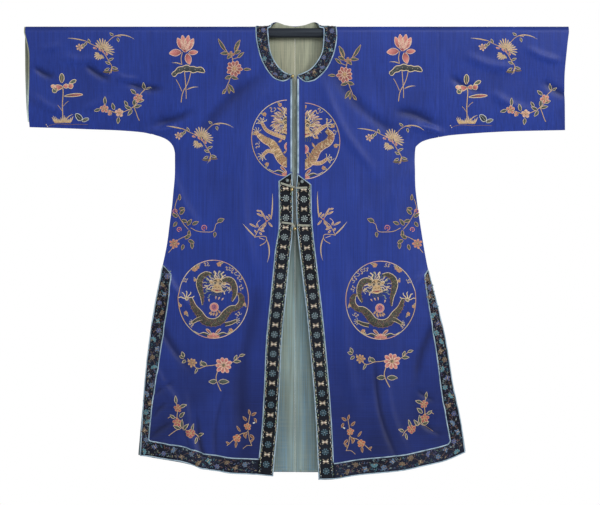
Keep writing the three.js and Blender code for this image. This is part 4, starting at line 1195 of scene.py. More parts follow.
def grass_spray(brush):
    """A chrysanthemum on a bent stem, with two long blades: 140 wide and 74 high."""
    brush.stem([(-6, 4), (-28, 14), (-44, 22), (-62, 26)], 2.0)
    brush.stem([(8, 12), (20, 26), (32, 33), (44, 31)], 2.0)
    brush.stem([(4, -8), (14, -26), (22, -40), (20, -56)], 2.2)
    blade(brush.at(-42, 21, 74), 44, -0.12, 2.6)
    blade(brush.at(30, 33, -74), 50, 0.42, 2.6)
    daisy(brush.at(-55, 6), 9, 6, ROSE, BLUSH)
    leaves(brush, [(-38, 18, 150, 12), (-30, 16, 30, 11), (-48, 14, 200, 10), (26, 34, 60, 11),
                   (36, 28, -160, 10), (14, -26, -60, 14), (18, -34, 70, 13), (22, -42, -100, 15),
                   (16, -44, 120, 13)], width=6)
    chrysanthemum(brush, 24)
    leaf(brush.at(20, -52, 96), 19, 6, edge=DEEP_GOLD)
    leaf(brush.at(22, -50, -84), 17, 4.5, edge=DEEP_GOLD)
    blade(brush.at(22, -40, 172), 22, 0.2, 2.0)


def rock_orchid(brush):
    """An orchid with a long leaf, growing from a tufted rock, a moth beside it: 92 wide and 112 high."""
    brush.stem([(0, -48), (-1, -20), (1, 10), (0, 22)], 3.0)
    brush.at(-2, 34).lobe(22, 11, DARK_GREEN, GREEN, PALE_GOLD, 1.9, blunt=1.1, vein=GOLD)
    for x, z, turn, long, wide, root in ((0, 24, 96, 22, 13, RED), (1, 25, -82, 13, 10, ROSE),
                                         (12, 26, -86, 13, 13, RED),
                                         (-16, 24, 78, 12, 8, BLUSH), (-14, 22, 140, 14, 11, GREEN),
                                         (16, 32, -62, 18, 8, GREEN)):
        brush.at(x, z, turn).lobe(long, wide, root, PINK if root is not GREEN else GREEN, PALE_GOLD, 1.9,
                                  blunt=1.3)
    brush.at(4, 2, -82).lobe(44, 7, DARK_GREEN, ROSE, PALE_GOLD, 1.9, bend=0.05, blunt=1.2)
    brush.stem([(1, -22), (8, -14), (14, -10)], 1.6)
    brush.stem([(-1, -34), (-7, -26), (-12, -20)], 1.6)
    for i in range(13):
        blade(brush.at(-18 + 2.9 * i, -62, 34 - 5.4 * i), 15 + 5 * math.sin(i * 1.1 + 0.5),
              0.08 * (6 - i) / 6, 3.4)
    blade(brush.at(6, -56, -30), 26, 0.35, 2.4)
    brush.cord(curved([(-34, -68), (-14, -64), (12, -66), (36, -65), (60, -66)], 3), 0.9, DEEP_GOLD)
    brush.at(44, -56, 30).lobe(20, 13, DARK_GREEN, DARK_GREEN, WHITE, 1.5, bend=-0.2, blunt=0.8, vein=WHITE)
    brush.at(46, -58, -58).lobe(17, 8, DARK_GREEN, GREEN, WHITE, 1.3, bend=0.2, blunt=0.9, vein=GOLD)
    brush.dots([(-40, -66), (-37, -70)], 1.4, PALE_GOLD)


def plum_branch(brush):
    """A branch of plum that rises to the right: 134 wide and 96 high, from its middle."""
    brush.stem([(-44, -14), (-28, -18), (-10, -24), (12, -18), (26, -10), (40, 4), (44, 20), (56, 32)], 2.4)
    brush.stem([(28, -8), (34, -22), (38, -34), (42, -42)], 2.4)
    leaves(brush, [(-52, -14, 112, 16, 9), (-40, -4, 6, 19, 8), (-18, -16, 22, 17, 9),
                   (-8, -34, 178, 16, 9), (22, -14, 70, 17, 9), (14, -6, 40, 14, 8), (30, -10, -70, 18, 8),
                   (24, -16, 150, 17, 9), (34, 22, 56, 17, 9), (30, -6, 4, 16, 9), (54, 32, 12, 18, 9),
                   (58, 32, -50, 13, 6), (40, 2, -62, 15, 7)], edge=PALE_GOLD)
    plum_flower(brush.at(-42, -13), 12)
    plum_flower(brush.at(-6, -23), 12, ROSE, BLUSH)
    plum_flower(brush.at(40, 12, 20), 13, RED, PINK)
    bud(brush.at(-24, -24, 80), 10, RED, PINK)


def lotus_spray(brush):
    """A lotus above its leaf on long stems: 80 wide and 160 high."""
    brush.stem([(-13, 52), (-16, 36), (-14, 22)], 2.4)
    brush.stem([(-8, 8), (-6, -16), (-4, -44)], 2.6)
    brush.stem([(8, 8), (4, -10), (-2, -26), (-10, -40), (-14, -52), (-16, -68)], 2.6)
    brush.stem([(-4, -44), (-4, -60)], 2.2)
    brush.stem([(-28, -14), (-22, -24), (-14, -42)], 2.0)
    blade(brush.at(-2, -38, -58), 30, 0.3, 2.6)
    blade(brush.at(-14, 22, 62), 26, -0.3, 2.4)
    for turn, long, wide, x, z in ((96, 28, 16, -16, 52), (-166, 26, 15, -2, 48), (-84, 22, 11, 2, 50),
                                   (-40, 26, 11, -4, 56),
                                   (24, 30, 13, -12, 58), (8, 34, 13, -8, 58), (-10, 34, 13, -4, 58),
                                   (-26, 31, 13, 0, 56)):
        brush.at(x, z, turn).lobe(long, wide, RED, PINK, BLUSH, 1.7, blunt=0.95, point=0.7)
    for i in range(7):
        brush.at(-6 + 3 * math.cos(i), 60 + 3 * math.sin(i), 40 - 14 * i).lobe(
            22, 6, PINK, BLUSH, PALE_GOLD, 1.1, blunt=1.1)
    brush.at(-6, 52).lobe(20, 17, RED, ROSE, BLUSH, 1.7, blunt=1.0)
    spine = curved([(-36, -4), (-22, 8), (-4, 13), (14, 10), (30, 10), (40, 4)], 3)
    share = np.linspace(0, 1, len(spine))
    widths = 5 + 9 * np.sin(np.pi * share) ** 0.5 + 2.2 * np.sin(share * 30)
    brush.fill(spine, widths, DARK_GREEN, DARK_GREEN, 0.9)
    side = directions(spine)[1] * widths[:, None] / 2
    rim = np.vstack([spine + side, (spine - side)[::-1]])
    brush.cord(rim, 2.0, PALE_GOLD, closed=True, double=True)
    for i in range(4, len(spine) - 3, 4):
        brush.cord([spine[i] - side[i] * 0.7, spine[i] + (1.5, 0), spine[i] + side[i] * 0.7], 0.8, GREEN,
                   height=1.3)
    brush.dots(spine[3:-3:4], 1.2, PALE_GOLD, 1.3)


def hanging_branch(brush):
    """A flowering branch that hangs: 76 wide and 140 high."""
    brush.stem([(-20, 54), (-10, 36), (0, 26), (2, 8), (-2, -14), (-6, -30), (-12, -44), (-18, -62)], 2.2)
    brush.stem([(2, 30), (14, 44), (18, 56)], 2.0)
    brush.stem([(0, 20), (12, 24), (22, 32)], 1.8)
    leaves(brush, [(-14, 40, 38, 36, 9), (8, 44, -22, 26, 10), (-8, 36, 100, 20, 9), (-2, 34, 150, 16, 9),
                   (6, 34, -60, 17, 10), (8, 40, -10, 16, 9), (14, 24, -44, 20, 8), (28, -4, -84, 18, 7),
                   (-2, -20, 116, 16, 10), (-2, -22, -100, 18, 9), (-8, -40, -140, 24, 9),
                   (-8, -44, -170, 18, 7), (-14, -50, 150, 16, 7)], edge=GOLD)
    daisy(brush.at(6, -2), 19, 10, BROWN, ROSE, BLUSH, GOLD)
    daisy(brush.at(6, 0, 16), 11, 7, RED, PINK, GOLD, GOLD)
    plum_flower(brush.at(-2, 32), 9, GREEN, ROSE, GOLD, 4)


def seam_spray(brush):
    """A scrolling branch, rooted near the side seam: 130 wide and 140 high, for the wearer's right."""
    brush.stem([(-44, 66), (-50, 44), (-42, 26), (-30, 6), (-18, -8)], 2.0)
    brush.stem([(-12, -4), (4, -12), (24, -14), (42, -12), (48, 4), (54, 8)], 2.0)
    brush.stem([(-24, -24), (-44, -34), (-56, -52), (-66, -64)], 2.0)
    for x, z, r in ((20, -4, 6), (-40, -8, 5), (-50, 36, 5)):
        brush.cord(arc(r, -40, 280, 1.6, (x, z)), 1.6, PINK, double=True)
        brush.at(x, z).disc(r * 0.45, RED, ROSE)
    leaves(brush, [(-44, 22, 60, 16, 9), (-38, 28, -40, 17, 9), (-34, 14, -100, 15, 9),
                   (-46, 10, 150, 14, 9), (-40, 40, -70, 14, 8), (-16, -10, 180, 16, 8),
                   (-20, 2, -30, 18, 10), (-8, 4, -60, 16, 9), (-26, -30, -50, 18, 10),
                   (-18, -34, -110, 16, 10), (-10, -40, -170, 15, 9), (-30, -44, 170, 14, 8),
                   (52, 10, -60, 18, 12), (46, -14, 180, 13, 8), (-38, 62, 10, 15, 7)], edge=GOLD)
    daisy(brush.at(-52, -42), 12, 7, RED, PINK, GOLD)


def iris_spray(brush):
    """A thin gold iris with long curling blades: 78 wide and 168 high, drawn for the wearer's right."""
    blade(brush.at(34, 21, -8), 64, -0.09, 3.0)
    blade(brush.at(-4, -21, 49), 44, 0.1, 3.2)
    blade(brush.at(23, -27, 205), 59, 0.38, 3.0)
    brush.stem([(33, 24), (24, 16), (8, 3), (2, -7), (-4, -19)], 2.2)
    brush.stem([(-6, -22), (4, -20), (20, -20), (23, -27), (19, -35), (7, -42)], 2.2)
    brush.stem([(0, 3), (1, 13), (8, 19)], 1.8, BLUSH)
    brush.stem([(5, -23), (18, -28)], 1.8, BLUSH)
    for x, z, turn, long in ((21, 20, 28, 26), (14, 28, 64, 16), (9, 40, 78, 10), (17, 26, 20, 10),
                             (29, 21, 42, 11),
                             (34, 25, 40, 10), (27, 14, -138, 15), (22, 12, 152, 11), (16, 8, 170, 12),
                             (4, -5, -64, 12),
                             (-1, 2, 64, 19), (3, 2, 24, 9), (8, -6, -100, 10), (0, -12, 40, 9),
                             (5, -10, -130, 9)):
        brush.at(x, z, turn).lobe(long, 3.6, BROWN, GOLD, BLUSH, 1.2, blunt=1.1, point=0.7)
    brush.at(23, 17).disc(2.6, RED, PINK)


def peony_spray(brush):
    """A large pink flower with a long branch to the left: 150 wide and 84 high."""
    brush.stem([(24, 14), (4, 10), (-14, 8), (-34, 2), (-46, 14), (-58, 26)], 2.2)
    brush.stem([(16, 2), (10, -20), (16, -40), (22, -52)], 2.4)
    brush.stem([(44, 14), (56, 22), (68, 32), (76, 32)], 2.0)
    leaves(brush, [(-66, 30, 30, 14, 9), (-66, 28, 80, 13, 9), (-62, 22, 130, 12, 8), (-12, 10, 70, 18, 12),
                   (-34, 4, 160, 16, 6), (-26, 8, 0, 14, 5), (52, 18, -80, 18, 9), (54, 22, -20, 14, 7),
                   (66, 32, -70, 14, 7), (12, -28, 100, 20, 13), (16, -30, -84, 26, 14)])
    daisy(brush.at(-47, 16), 11, 7, RED, GOLD, GOLD)
    daisy(brush.at(28, 10), 20, 9, RED, PINK, BLUSH, GREEN)
    daisy(brush.at(30, 8, 20), 12, 7, ROSE, BLUSH, PALE_GOLD)


def corner_spray_outer(brush):
    """Roses that climb the slit's corner: 86 wide and 118 high, drawn for the wearer's right."""
    brush.stem([(-20, 46), (-17, 28), (-18, 8), (-8, -14), (10, -22), (26, -30), (36, -44)], 2.2)
    brush.stem([(-8, -16), (-22, -22), (-38, -34)], 2.0)
    brush.stem([(-18, 8), (-32, 12), (-40, 8)], 1.8)
    leaves(brush, [(-20, 44, 14, 18, 7), (-12, 34, -64, 18, 9), (-12, 10, -40, 18, 10), (-24, 8, 60, 14, 8),
                   (-10, -18, 70, 20, 9), (-6, -16, 4, 22, 9), (-2, -20, -30, 18, 8), (16, -24, -10, 20, 7),
                   (32, -34, -62, 15, 8), (28, -38, 172, 16, 6)])
    plum_flower(brush.at(-16, 32), 11, RED, ROSE, GOLD)
    plum_flower(brush.at(-18, -2), 12, RED, ROSE, GOLD)
    plum_flower(brush.at(14, -28), 12, RED, ROSE, GOLD, 6)


def corner_spray_inner(brush):
    """Small orange blossoms at the front corner: 76 wide and 92 high, drawn for the wearer's right."""
    brush.stem([(20, 42), (16, 20), (14, 0), (-2, -6), (-16, -16), (-36, -34)], 2.0)
    brush.stem([(16, 0), (18, -18), (24, -34)], 2.0)
    brush.stem([(24, -34), (12, -34), (2, -42)], 1.6)
    leaves(brush, [(20, 40, 20, 13, 6), (24, 38, -50, 13, 7), (30, 32, -150, 12, 6), (12, 26, 50, 14, 7),
                   (12, -2, 150, 13, 7), (4, -4, -150, 14, 7), (20, -8, -130, 14, 7), (-4, 0, 40, 16, 5),
                   (-14, -24, 180, 15, 6), (20, -26, -40, 12, 5), (-30, -30, 60, 10, 5)], edge=GOLD,
                   dark=colour(88, 44, 42), light=colour(134, 78, 58))
    plum_flower(brush.at(14, 12), 10, RED, colour(196, 104, 66), GOLD)
    plum_flower(brush.at(-12, -16), 11, RED, colour(196, 104, 66), GOLD)
    brush.dots([(28, 20), (30, 21)], 1.8, WHITE)


# Where each spray goes on the front: motif, place in pixels of the picture, mirrored.
PIXEL, PIXEL_X, PIXEL_Z = 2.4, 295.0, 32.75
SPRAYS = [
    (grass_spray, 103, 50, False), (rock_orchid, 63, 97, False), (plum_branch, 122, 103, False),
    (lotus_spray, 188, 74, False), (hanging_branch, 232, 68, False), (grass_spray, 201.6, 138, False),
    (seam_spray, 196, 226, False), (iris_spray, 257, 228, False), (peony_spray, 212, 369, False),
    (corner_spray_outer, 185, 421, False), (corner_spray_inner, 242, 431, False),
    (grass_spray, 505, 50, False), (rock_orchid, 467, 98, False), (plum_branch, 528, 104, False),
    (lotus_spray, 405, 73, False), (hanging_branch, 347, 74, True), (grass_spray, 392, 140, False),
    (seam_spray, 395.5, 226, True), (iris_spray, 333, 226, True), (peony_spray, 380, 365, False),
    (corner_spray_outer, 417, 417, True), (corner_spray_inner, 356, 436, True),
]


def picture_place(px, py):
    return (px - PIXEL_X) * PIXEL, (PIXEL_Z - py) * PIXEL


def build_sprays():
    works = {}
    for face in FACES:
        for motif, px, py, mirrored in SPRAYS:
            x, z = picture_place(px, py)
            kind = "sleeve" if abs(x) > 300 and z > -240 else "body"
            side = "right" if x < 0 else "left"
            work = works.setdefault((kind, side, face), Needlework(face))
            motif(Brush(work).at(x, z, flip=mirrored))
    for (kind, side, face), work in works.items():
        work.piece(f"embroidery_{kind}_{side}_{face}", "thread", "silk")


# ---------------------------------------------------------------- dragon roundels
CHEST_RING, SKIRT_RING = (87.0, 91.0), (84.0, 93.5)
SPECKS = (colour(78, 88, 58), BROWN, colour(116, 74, 62), colour(50, 68, 50), colour(126, 114, 80))
DRAGONS = {
    "dark": {"body": colour(26, 32, 32), "back": colour(40, 34, 36), "scale": SPECKS, "edge": PALE_GOLD,
             "trim": DEEP_GOLD},
    "gold": {"body": DEEP_GOLD, "back": GOLD, "scale": (PALE_GOLD, BROWN, DARK_GREEN, RED, DEEP_GOLD),
             "edge": BLUSH, "trim": BEIGE},
}
RING_TINTS = (BLUSH, BEIGE, colour(190, 146, 118), PALE_GOLD, colour(200, 150, 136), GOLD,
              colour(206, 186, 160))


def swept(points, widths, step=2.6):
    """A smooth spine with a width at each of its points."""
    spine = curved(points, step)
    knots, along = run_lengths(points), run_lengths(spine)
    return spine, np.interp(along * knots[-1] / along[-1], knots, widths)


def dragon_body(brush, points, widths, look, fins=1):
    """A scaled length of body, pale along its belly, with a dull edge and small fins down its back."""
    spine, wide = swept(points, widths)
    brush.fill(spine, wide, look["body"], look["back"], 1.1, columns=7)
    ahead, side = directions(spine)
    brush.cord(spine - side * (fins * wide / 2)[:, None], 1.8, look["edge"], 1.1, double=True)
    brush.cord(spine + side * (fins * wide / 2)[:, None], 1.0, look["trim"], 1.1)
    rng = np.random.default_rng(len(spine))
    for i in range(1, len(spine) - 1):
        count = 2 + i % 2
        for k in range(count):
            across = (k - (count - 1) / 2) / 3.2 * wide[i]
            reach = wide[i] / 6
            centre = spine[i] + side[i] * across
            rim = [centre - side[i] * reach - ahead[i] * 0.9, centre + ahead[i] * 1.1,
                   centre + side[i] * reach - ahead[i] * 0.9]
            brush.cord(rim, 1.25, look["scale"][rng.integers(len(look["scale"]))], 0.5, lift=1.0)
    for i in range(2, len(spine) - 2, 3):
        root = spine[i] + side[i] * fins * wide[i] / 2
        tip = root + side[i] * fins * 2.8 + ahead[i] * 2.2
        brush.fill([root, (root + tip) / 2, tip], [2.6, 2.0, 0.3], BROWN, DEEP_GOLD, 0.8, columns=3)


def claw(brush, look, size=1.0):
    """Five talons spread upwards."""
    brush.disc(4.2 * size, look["body"], look["edge"], 1.2, spokes=9)
    for turn in (-74, -36, 0, 34, 76):
        talon = brush.at(0, 0, turn)
        line = curved(np.array([(0, 3), (0.6, 8), (2.4, 12.5), (1.2, 16)]) * size, 2.0)
        talon.cord(line, 2.0 * size, PALE_GOLD, 1.2, double=True)
        talon.at(1.2 * size, 16 * size).disc(1.1, WHITE, spokes=6)


def dragon_leg(brush, points, look, turn, size=0.85):
    spine, wide = swept(points, [9, 8, 6][: len(points)] if len(points) < 4 else [9, 8, 7, 6])
    brush.fill(spine, wide, look["back"], look["body"], 1.0, columns=5)
    side = directions(spine)[1] * wide[:, None] / 2
    for edge in (-1, 1):
        brush.cord(spine + side * edge, 1.4, look["edge"], 1.1)
    for i in range(2, len(spine) - 1, 2):
        brush.cord([spine[i] - side[i] * 0.6, spine[i] + side[i] * 0.6], 1.0, look["scale"][i % 2], 0.5,
                   lift=0.9)
    claw(brush.at(*points[-1], turn), look, size)


def dragon_head(brush, look):
    """A face seen from the front: mane, horns, brows, round eyes, a wide muzzle with fangs, and whiskers."""
    for i in range(17):
        turn = 136 - i * 17
        lock = brush.at(12 * math.sin(math.radians(-turn)), 2 + 13 * math.cos(math.radians(turn)), turn)
        line = curved([(0, 0), (2.4, 6), (-1.6, 11), (1.2, 16 + 3 * (i % 3))], 2.2)
        lock.cord(line, 2.4, (GREEN, PALE_GOLD, BEIGE)[i % 3], 0.9, double=True)
    for sign in (-1, 1):
        brush.cord(curved([(5 * sign, 13), (10 * sign, 22), (7 * sign, 29), (13 * sign, 35)], 2), 3.0,
                   PALE_GOLD, 1.6, double=True)
        brush.cord(curved([(9 * sign, -9), (20 * sign, -14), (27 * sign, -6), (34 * sign, -11)], 2), 1.4,
                   PALE_GOLD, 1.7)
        brush.at(11 * sign, 3, -66 * sign).lobe(11, 6, look["body"], GOLD, PALE_GOLD, 1.4, height=1.2)
        brush.at(8 * sign, -10, -140 * sign).lobe(9, 5, ROSE, GOLD, PALE_GOLD, 1.2, height=1.2)
    spine = [(0, 16), (0, 11), (0, 5), (0, 0), (0, -5), (0, -10), (0, -16), (0, -19)]
    brush.fill(spine, [9, 20, 24, 18, 19, 25, 20, 9], look["back"], GOLD, 1.7, columns=9)
    outline = curved([(0, 17), (7, 15), (12, 8), (10.5, 1), (9, -3), (12.5, -9), (10, -16), (0, -19.5)], 2.2)
    brush.fill([(-9, -12), (-4, -13.5), (0, -14), (4, -13.5), (9, -12)], [2, 6, 7, 6, 2], RED, RED, 2.2,
               columns=5)
    for sign in (-1, 1):
        brush.cord(outline * (sign, 1), 1.6, PALE_GOLD, 2.1)
        brush.cord(curved([(1.5 * sign, 7), (6 * sign, 12), (12.5 * sign, 8)], 1.6), 2.0, DARK_GREEN, 2.5,
                   double=True)
        eye = brush.at(5.8 * sign, 4.6)
        eye.disc(4.0, DARK_GREEN, BROWN, 2.2, 12)
        eye.cord(arc(3.6, 0, 360, 1.6), 1.1, WHITE, 2.6)
        eye.disc(1.3, WHITE, GOLD, 2.9, 7)
        brush.at(3.6 * sign, -5.6).disc(2.6, BROWN, GOLD, 2.5, 9)
        brush.cord(arc(3.4, 0, 360, 1.6, (3.6 * sign, -5.6)), 1.0, PALE_GOLD, 2.6)
        brush.cord(curved([(1 * sign, -10), (6 * sign, -9.5), (11 * sign, -12)], 1.6), 1.4, PALE_GOLD, 2.7)
        brush.at(5.5 * sign, -10.5, 180).lobe(5, 2.2, WHITE, WHITE, PALE_GOLD, 0.6, blunt=0.8, point=0.9,
                                              height=2.6, steps=5)
        for i in range(3):
            brush.cord(arc(2.6, 20, 160, 1.4, ((2 + 3.2 * i) * sign, 12.5 - 1.6 * i)), 0.8, DEEP_GOLD, 2.3)
    brush.cord(curved([(0, 10), (0.8, 4), (0, -2)], 1.6), 2.6, PALE_GOLD, 2.5, double=True)
    brush.dots([(x, -10.8) for x in (-2.6, 0, 2.6)], 0.9, WHITE, 2.8)
    for x in (-9, -5, -1.5, 1.5, 5, 9):
        brush.cord(curved([(x, -18), (x * 1.35, -23), (x * 1.15, -28)], 2), 1.6,
                   (BEIGE, GREEN)[abs(int(x)) % 2], 1.2, double=True)


def pearl(brush):
    """The flaming pearl, a pink spiral on the silk, with a pale rim."""
    brush.cord(arc(7.6, 0, 360, 1.8), 3.0, PINK, 0.9)
    turn = np.linspace(0, 4.4 * math.pi, 40)
    spiral = np.stack([np.cos(turn), np.sin(turn)], axis=1) * (1 + 5 * turn / turn[-1])[:, None]
    brush.cord(spiral, 1.2, PINK, 1.3)
    brush.cord(arc(10.2, 0, 360, 1.8), 1.6, BLUSH, 1.3, double=True)
    for turn in (150, 180, 208, 232):
        brush.at(11 * math.sin(-math.radians(turn)), 11 * math.cos(math.radians(turn)), turn).lobe(
            9, 3.6, RED, GOLD, GOLD, 0.9, bend=0.3)


def cloud(brush):
    """A curled cloud with a trailing tail, 24 across."""
    for x, z, radius, start in ((-5, 2, 4.2, -60), (5, 3, 4.8, -90), (0, -4, 3.6, 120)):
        turn = np.linspace(0, 4.2, 14)
        curl = np.stack([np.cos(turn + math.radians(start)), np.sin(turn + math.radians(start))], axis=1)
        brush.cord(curl * (radius * (1 - 0.17 * turn))[:, None] + (x, z), 1.5, BEIGE, double=True)
        brush.at(x, z).disc(1.3, ROSE, spokes=7)
    brush.cord(curved([(4, -3), (9, -6), (14, -4)], 2), 1.3, BEIGE)


def wave_foot(brush, foot):
    """A lotus at the ring's foot, two sprouts, and water to either side."""
    for sign in (-1, 1):
        bank = curved([(9, 8), (18, 13), (25, 14), (32, 11), (39, 13), (46, 17)], 2.4) * (sign, 1) + (0, foot)
        deep = np.interp(np.abs(bank[:, 0]), [9, 22, 33], [6.4, 6.0, 0.4])
        brush.fill(bank - np.outer(deep / 2, (0, 1)), deep, DARK_GREEN, DARK_GREEN, 0.7)
        brush.cord(bank, 1.7, PALE_GOLD, double=True)
        brush.at(4 * sign, foot + 8, -30 * sign).lobe(19, 5.5, DARK_GREEN, ROSE, PALE_GOLD, 1.3,
                                                      bend=0.24 * sign)
        brush.at(0, foot + 2, -74 * sign).lobe(15, 7, RED, PINK, GOLD, 1.2)
        brush.at(0, foot + 2, -40 * sign).lobe(13, 7, RED, PINK, BLUSH, 1.2)
    brush.at(0, foot + 1).lobe(12, 9, ROSE, PINK, BLUSH, 1.2)


def ring(brush, wide, high):
    """The ring: couched pairs in changing colours, dashed with stitches here and there."""
    line = arc(1.0, 90, 450, 0.03) * (wide, high)
    cuts = np.linspace(0, len(line) - 1, 2 * len(RING_TINTS) + 1).astype(int)
    for i, (start, end) in enumerate(zip(cuts[:-1], cuts[1:])):
        brush.cord(line[start:end + 1], 1.9, RING_TINTS[i * 3 % len(RING_TINTS)], 0.9, double=True)
    for i in range(3, len(line) - 3, 7):
        if math.sin(i * 0.11) > 0.2:
            brush.cord([line[i] * 0.985, line[i] * 1.02], 0.8, RED, 1.2)


def ring_flowers(brush, flowers):
    for x, z, turn, size in flowers:
        plum_flower(brush.at(x, z, turn), size, RED, colour(204, 128, 104), GOLD)
        leaf(brush.at(x, z, turn - 60), size * 1.8, size * 0.8)


def chest_roundel(brush):
    """A gold dragon coiled face on after its pearl, in a ring."""
    look = DRAGONS["gold"]
    wide, high = CHEST_RING
    ring(brush, wide, high)
    dragon_body(brush, [(54, 26), (66, 14), (60, -2), (42, -13), (30, -26), (23, -41), (9, -54), (-4, -59),
                        (-17, -49),
                        (-27, -31), (-38, -14), (-56, -4), (-70, 8)],
                [8, 14, 17, 18, 19, 20, 21, 21, 20, 19, 18, 15, 11], look, -1)
    dragon_leg(brush, [(-6, 0), (-36, 11), (-52, 20), (-62, 36)], look, 24, 0.85)
    dragon_leg(brush, [(-56, -4), (-68, 4), (-74, 14)], look, 20, 0.7)
    dragon_leg(brush, [(-30, -34), (-48, -31), (-60, -42)], look, 148, 0.75)
    dragon_leg(brush, [(28, 18), (42, 30), (55, 38)], look, -72, 0.85)
    dragon_leg(brush, [(18, -52), (40, -53), (56, -43)], look, -62, 0.75)
    for side in (-1, 1):
        for i in range(13):
            turn = math.radians(4 + 11 * i)
            root = (2 + side * 22 * math.sin(turn), 38 + 20 * math.cos(turn))
            brush.at(*root, -side * (10 + 11 * i)).lobe(16 + 4 * (i % 3), 3.4,
                                                        (RED, BROWN, DARK_GREEN)[i % 3],
                                                        (PALE_GOLD, BLUSH, GOLD)[i % 3], BLUSH, 0.9,
                                                        bend=0.25 * side, blunt=0.9)
    dragon_head(brush.at(2, 32, size=1.2), look)
    pearl(brush.at(2, -20))
    for angle, turn, size in ((64, 20, 0.95), (38, -20, 0.9), (14, 60, 0.8), (-34, 30, 0.8), (120, -10, 0.95),
                              (150, 40, 0.8),
                              (194, 90, 0.8), (216, 120, 0.8)):
        angle = math.radians(angle)
        cloud(brush.at((wide - 12) * math.cos(angle), (high - 12) * math.sin(angle), turn, size))
    places = [math.radians(angle) for angle in (88, 104, 26, 136, 172, -8, -52, 230)]
    ring_flowers(brush, [((wide - 9) * math.cos(a), (high - 9) * math.sin(a), math.degrees(a),
                          5.4) for a in places])
    for x, z, turn in ((-20, 10, 100), (24, 8, -80), (-26, 24, 60), (-14, -2, 150), (20, -4, -140),
                       (-30, -14, 110), (30, -16, 60)):
        brush.at(x, z, turn).lobe(11, 4, ROSE, GOLD, GOLD, 0.9, bend=0.3)
    wave_foot(brush, -high)


def skirt_roundel(brush):
    """A dark dragon that curls under its pearl, one claw raised at the left, in a tall ring."""
    look = DRAGONS["dark"]
    wide, high = SKIRT_RING
    ring(brush, wide, high)
    dragon_body(brush, [(-4, 60), (-18, 61), (-30, 52), (-34, 37), (-31, 22), (-27, 6), (-26, -14)],
                [5, 10, 13, 14, 12, 8, 2], look)
    dragon_body(brush, [(22, 44), (33, 48), (44, 43), (50, 30), (52, 17), (49, 5), (44, -5)],
                [8, 12, 14, 14, 10, 7, 3], look, -1)
    dragon_body(brush, [(58, 14), (66, 7), (67, -8), (56, -20), (42, -23), (30, -34), (16, -51), (-4, -56),
                        (-22, -50), (-34, -34),
                        (-46, -19), (-51, -7), (-54, 2)], [4, 12, 14, 12, 14, 17, 19, 18, 19, 17, 13, 10, 7],
                        look)
    claw(brush.at(-64, 1, 8), look, 1.15)
    dragon_leg(brush, [(-28, -45), (-39, -49), (-50, -56)], look, 105, 0.45)
    dragon_leg(brush, [(28, -60), (42, -57), (55, -51)], look, -84, 0.5)
    claw(brush.at(42, 22, 70), look, 0.5)
    for x, z, turn in ((-14, 48, 70), (-16, 38, 84), (-14, 28, 100), (-12, 18, 124), (-6, 12, 150),
                       (4, 56, 24), (14, 57, -6),
                       (-6, 54, 50), (-8, 42, 66), (-8, 24, 112)):
        curl = curved([(0, 0), (2.6, 4), (0.4, 8), (3.2, 11)], 1.6)
        brush.at(x, z, turn).cord(curl, 1.7, (colour(150, 158, 128), BLUSH, BEIGE)[int(z) % 3], 0.9,
                                  double=True)
    dragon_head(brush.at(10, 34, -6, 0.94), DRAGONS["gold"])
    pearl(brush.at(2, -19))
    for x, z, turn in ((6, 0, 10), (12, -1, -14), (20, -3, -20), (-9, -6, 30), (-2, -33, 150), (6, -34, 200)):
        brush.at(x, z, turn).lobe(7, 2.6, ROSE, BLUSH, BEIGE, 0.8, bend=0.3)
    for x, z, turn, size in ((48, 68, -30, 1.0), (62, 52, -50, 0.8), (34, 74, -10, 0.7), (-68, 44, 60, 0.6),
                             (-18, 84, 0, 0.7),
                             (58, -36, 30, 0.7), (-52, -62, 120, 0.7), (66, 30, -70, 0.7)):
        cloud(brush.at(x, z, turn, size))
    ring_flowers(brush, [(14, 84, 0, 6.5), (-45, 72, 40, 7), (-38, 77, 20, 5), (-66, -33, -80, 5.5),
                         (-79, -15, 90, 4.5),
                         (74, -12, -80, 4.5), (42, -74, 200, 5.5), (-44, 46, 80, 4)])
    wave_foot(brush, -high)


CHEST_CUT = {"right": 19.5, "left": 24.0}
CHEST = {"right": (-17.0, -253.0), "left": (20.4, -260.0)}
LOWER = {"right": (213.5, 299.0), "left": (380.5, 300.0)}


def build_roundels():
    for side, (x, z) in CHEST.items():
        sign, cut = SIGN[side], CHEST_CUT[side]
        work = Needlework("front")
        chest_roundel(Brush(work).at(x, z))
        work.cut(lambda points: points[:, 0] * sign - cut, lambda points: np.stack(
            [np.where(points[:, 0] * sign < cut, cut * sign, points[:, 0]), points[:, 1]], axis=1))
        work.piece(f"roundel_chest_{side}", "thread", "silk")
    for face in FACES:
        for side, (px, py) in LOWER.items():
            work = Needlework(face)
            skirt_roundel(Brush(work).at(*picture_place(px, py), flip=side == "left"))
            work.piece(f"roundel_skirt_{side}_{face}", "thread", "silk")
    work = Needlework("back")
    chest_roundel(Brush(work).at(0, -252))
    work.piece("roundel_back", "thread", "silk")


# ---------------------------------------------------------------- figures on the borders
MEDALLION_ROOM, DOT_SPACING, FIGURE_LIFT = 12.0, 3.3, 0.25
# Runs of medallions and crosses in turn: first height, spacing, how many.
FIGURE_RUNS = {"right": [(-350.5, 23.3, 23), (-892, 23.7, 7)], "left": [(-352.9, 23.25, 31)]}
PALE_GREEN = colour(168, 192, 156)


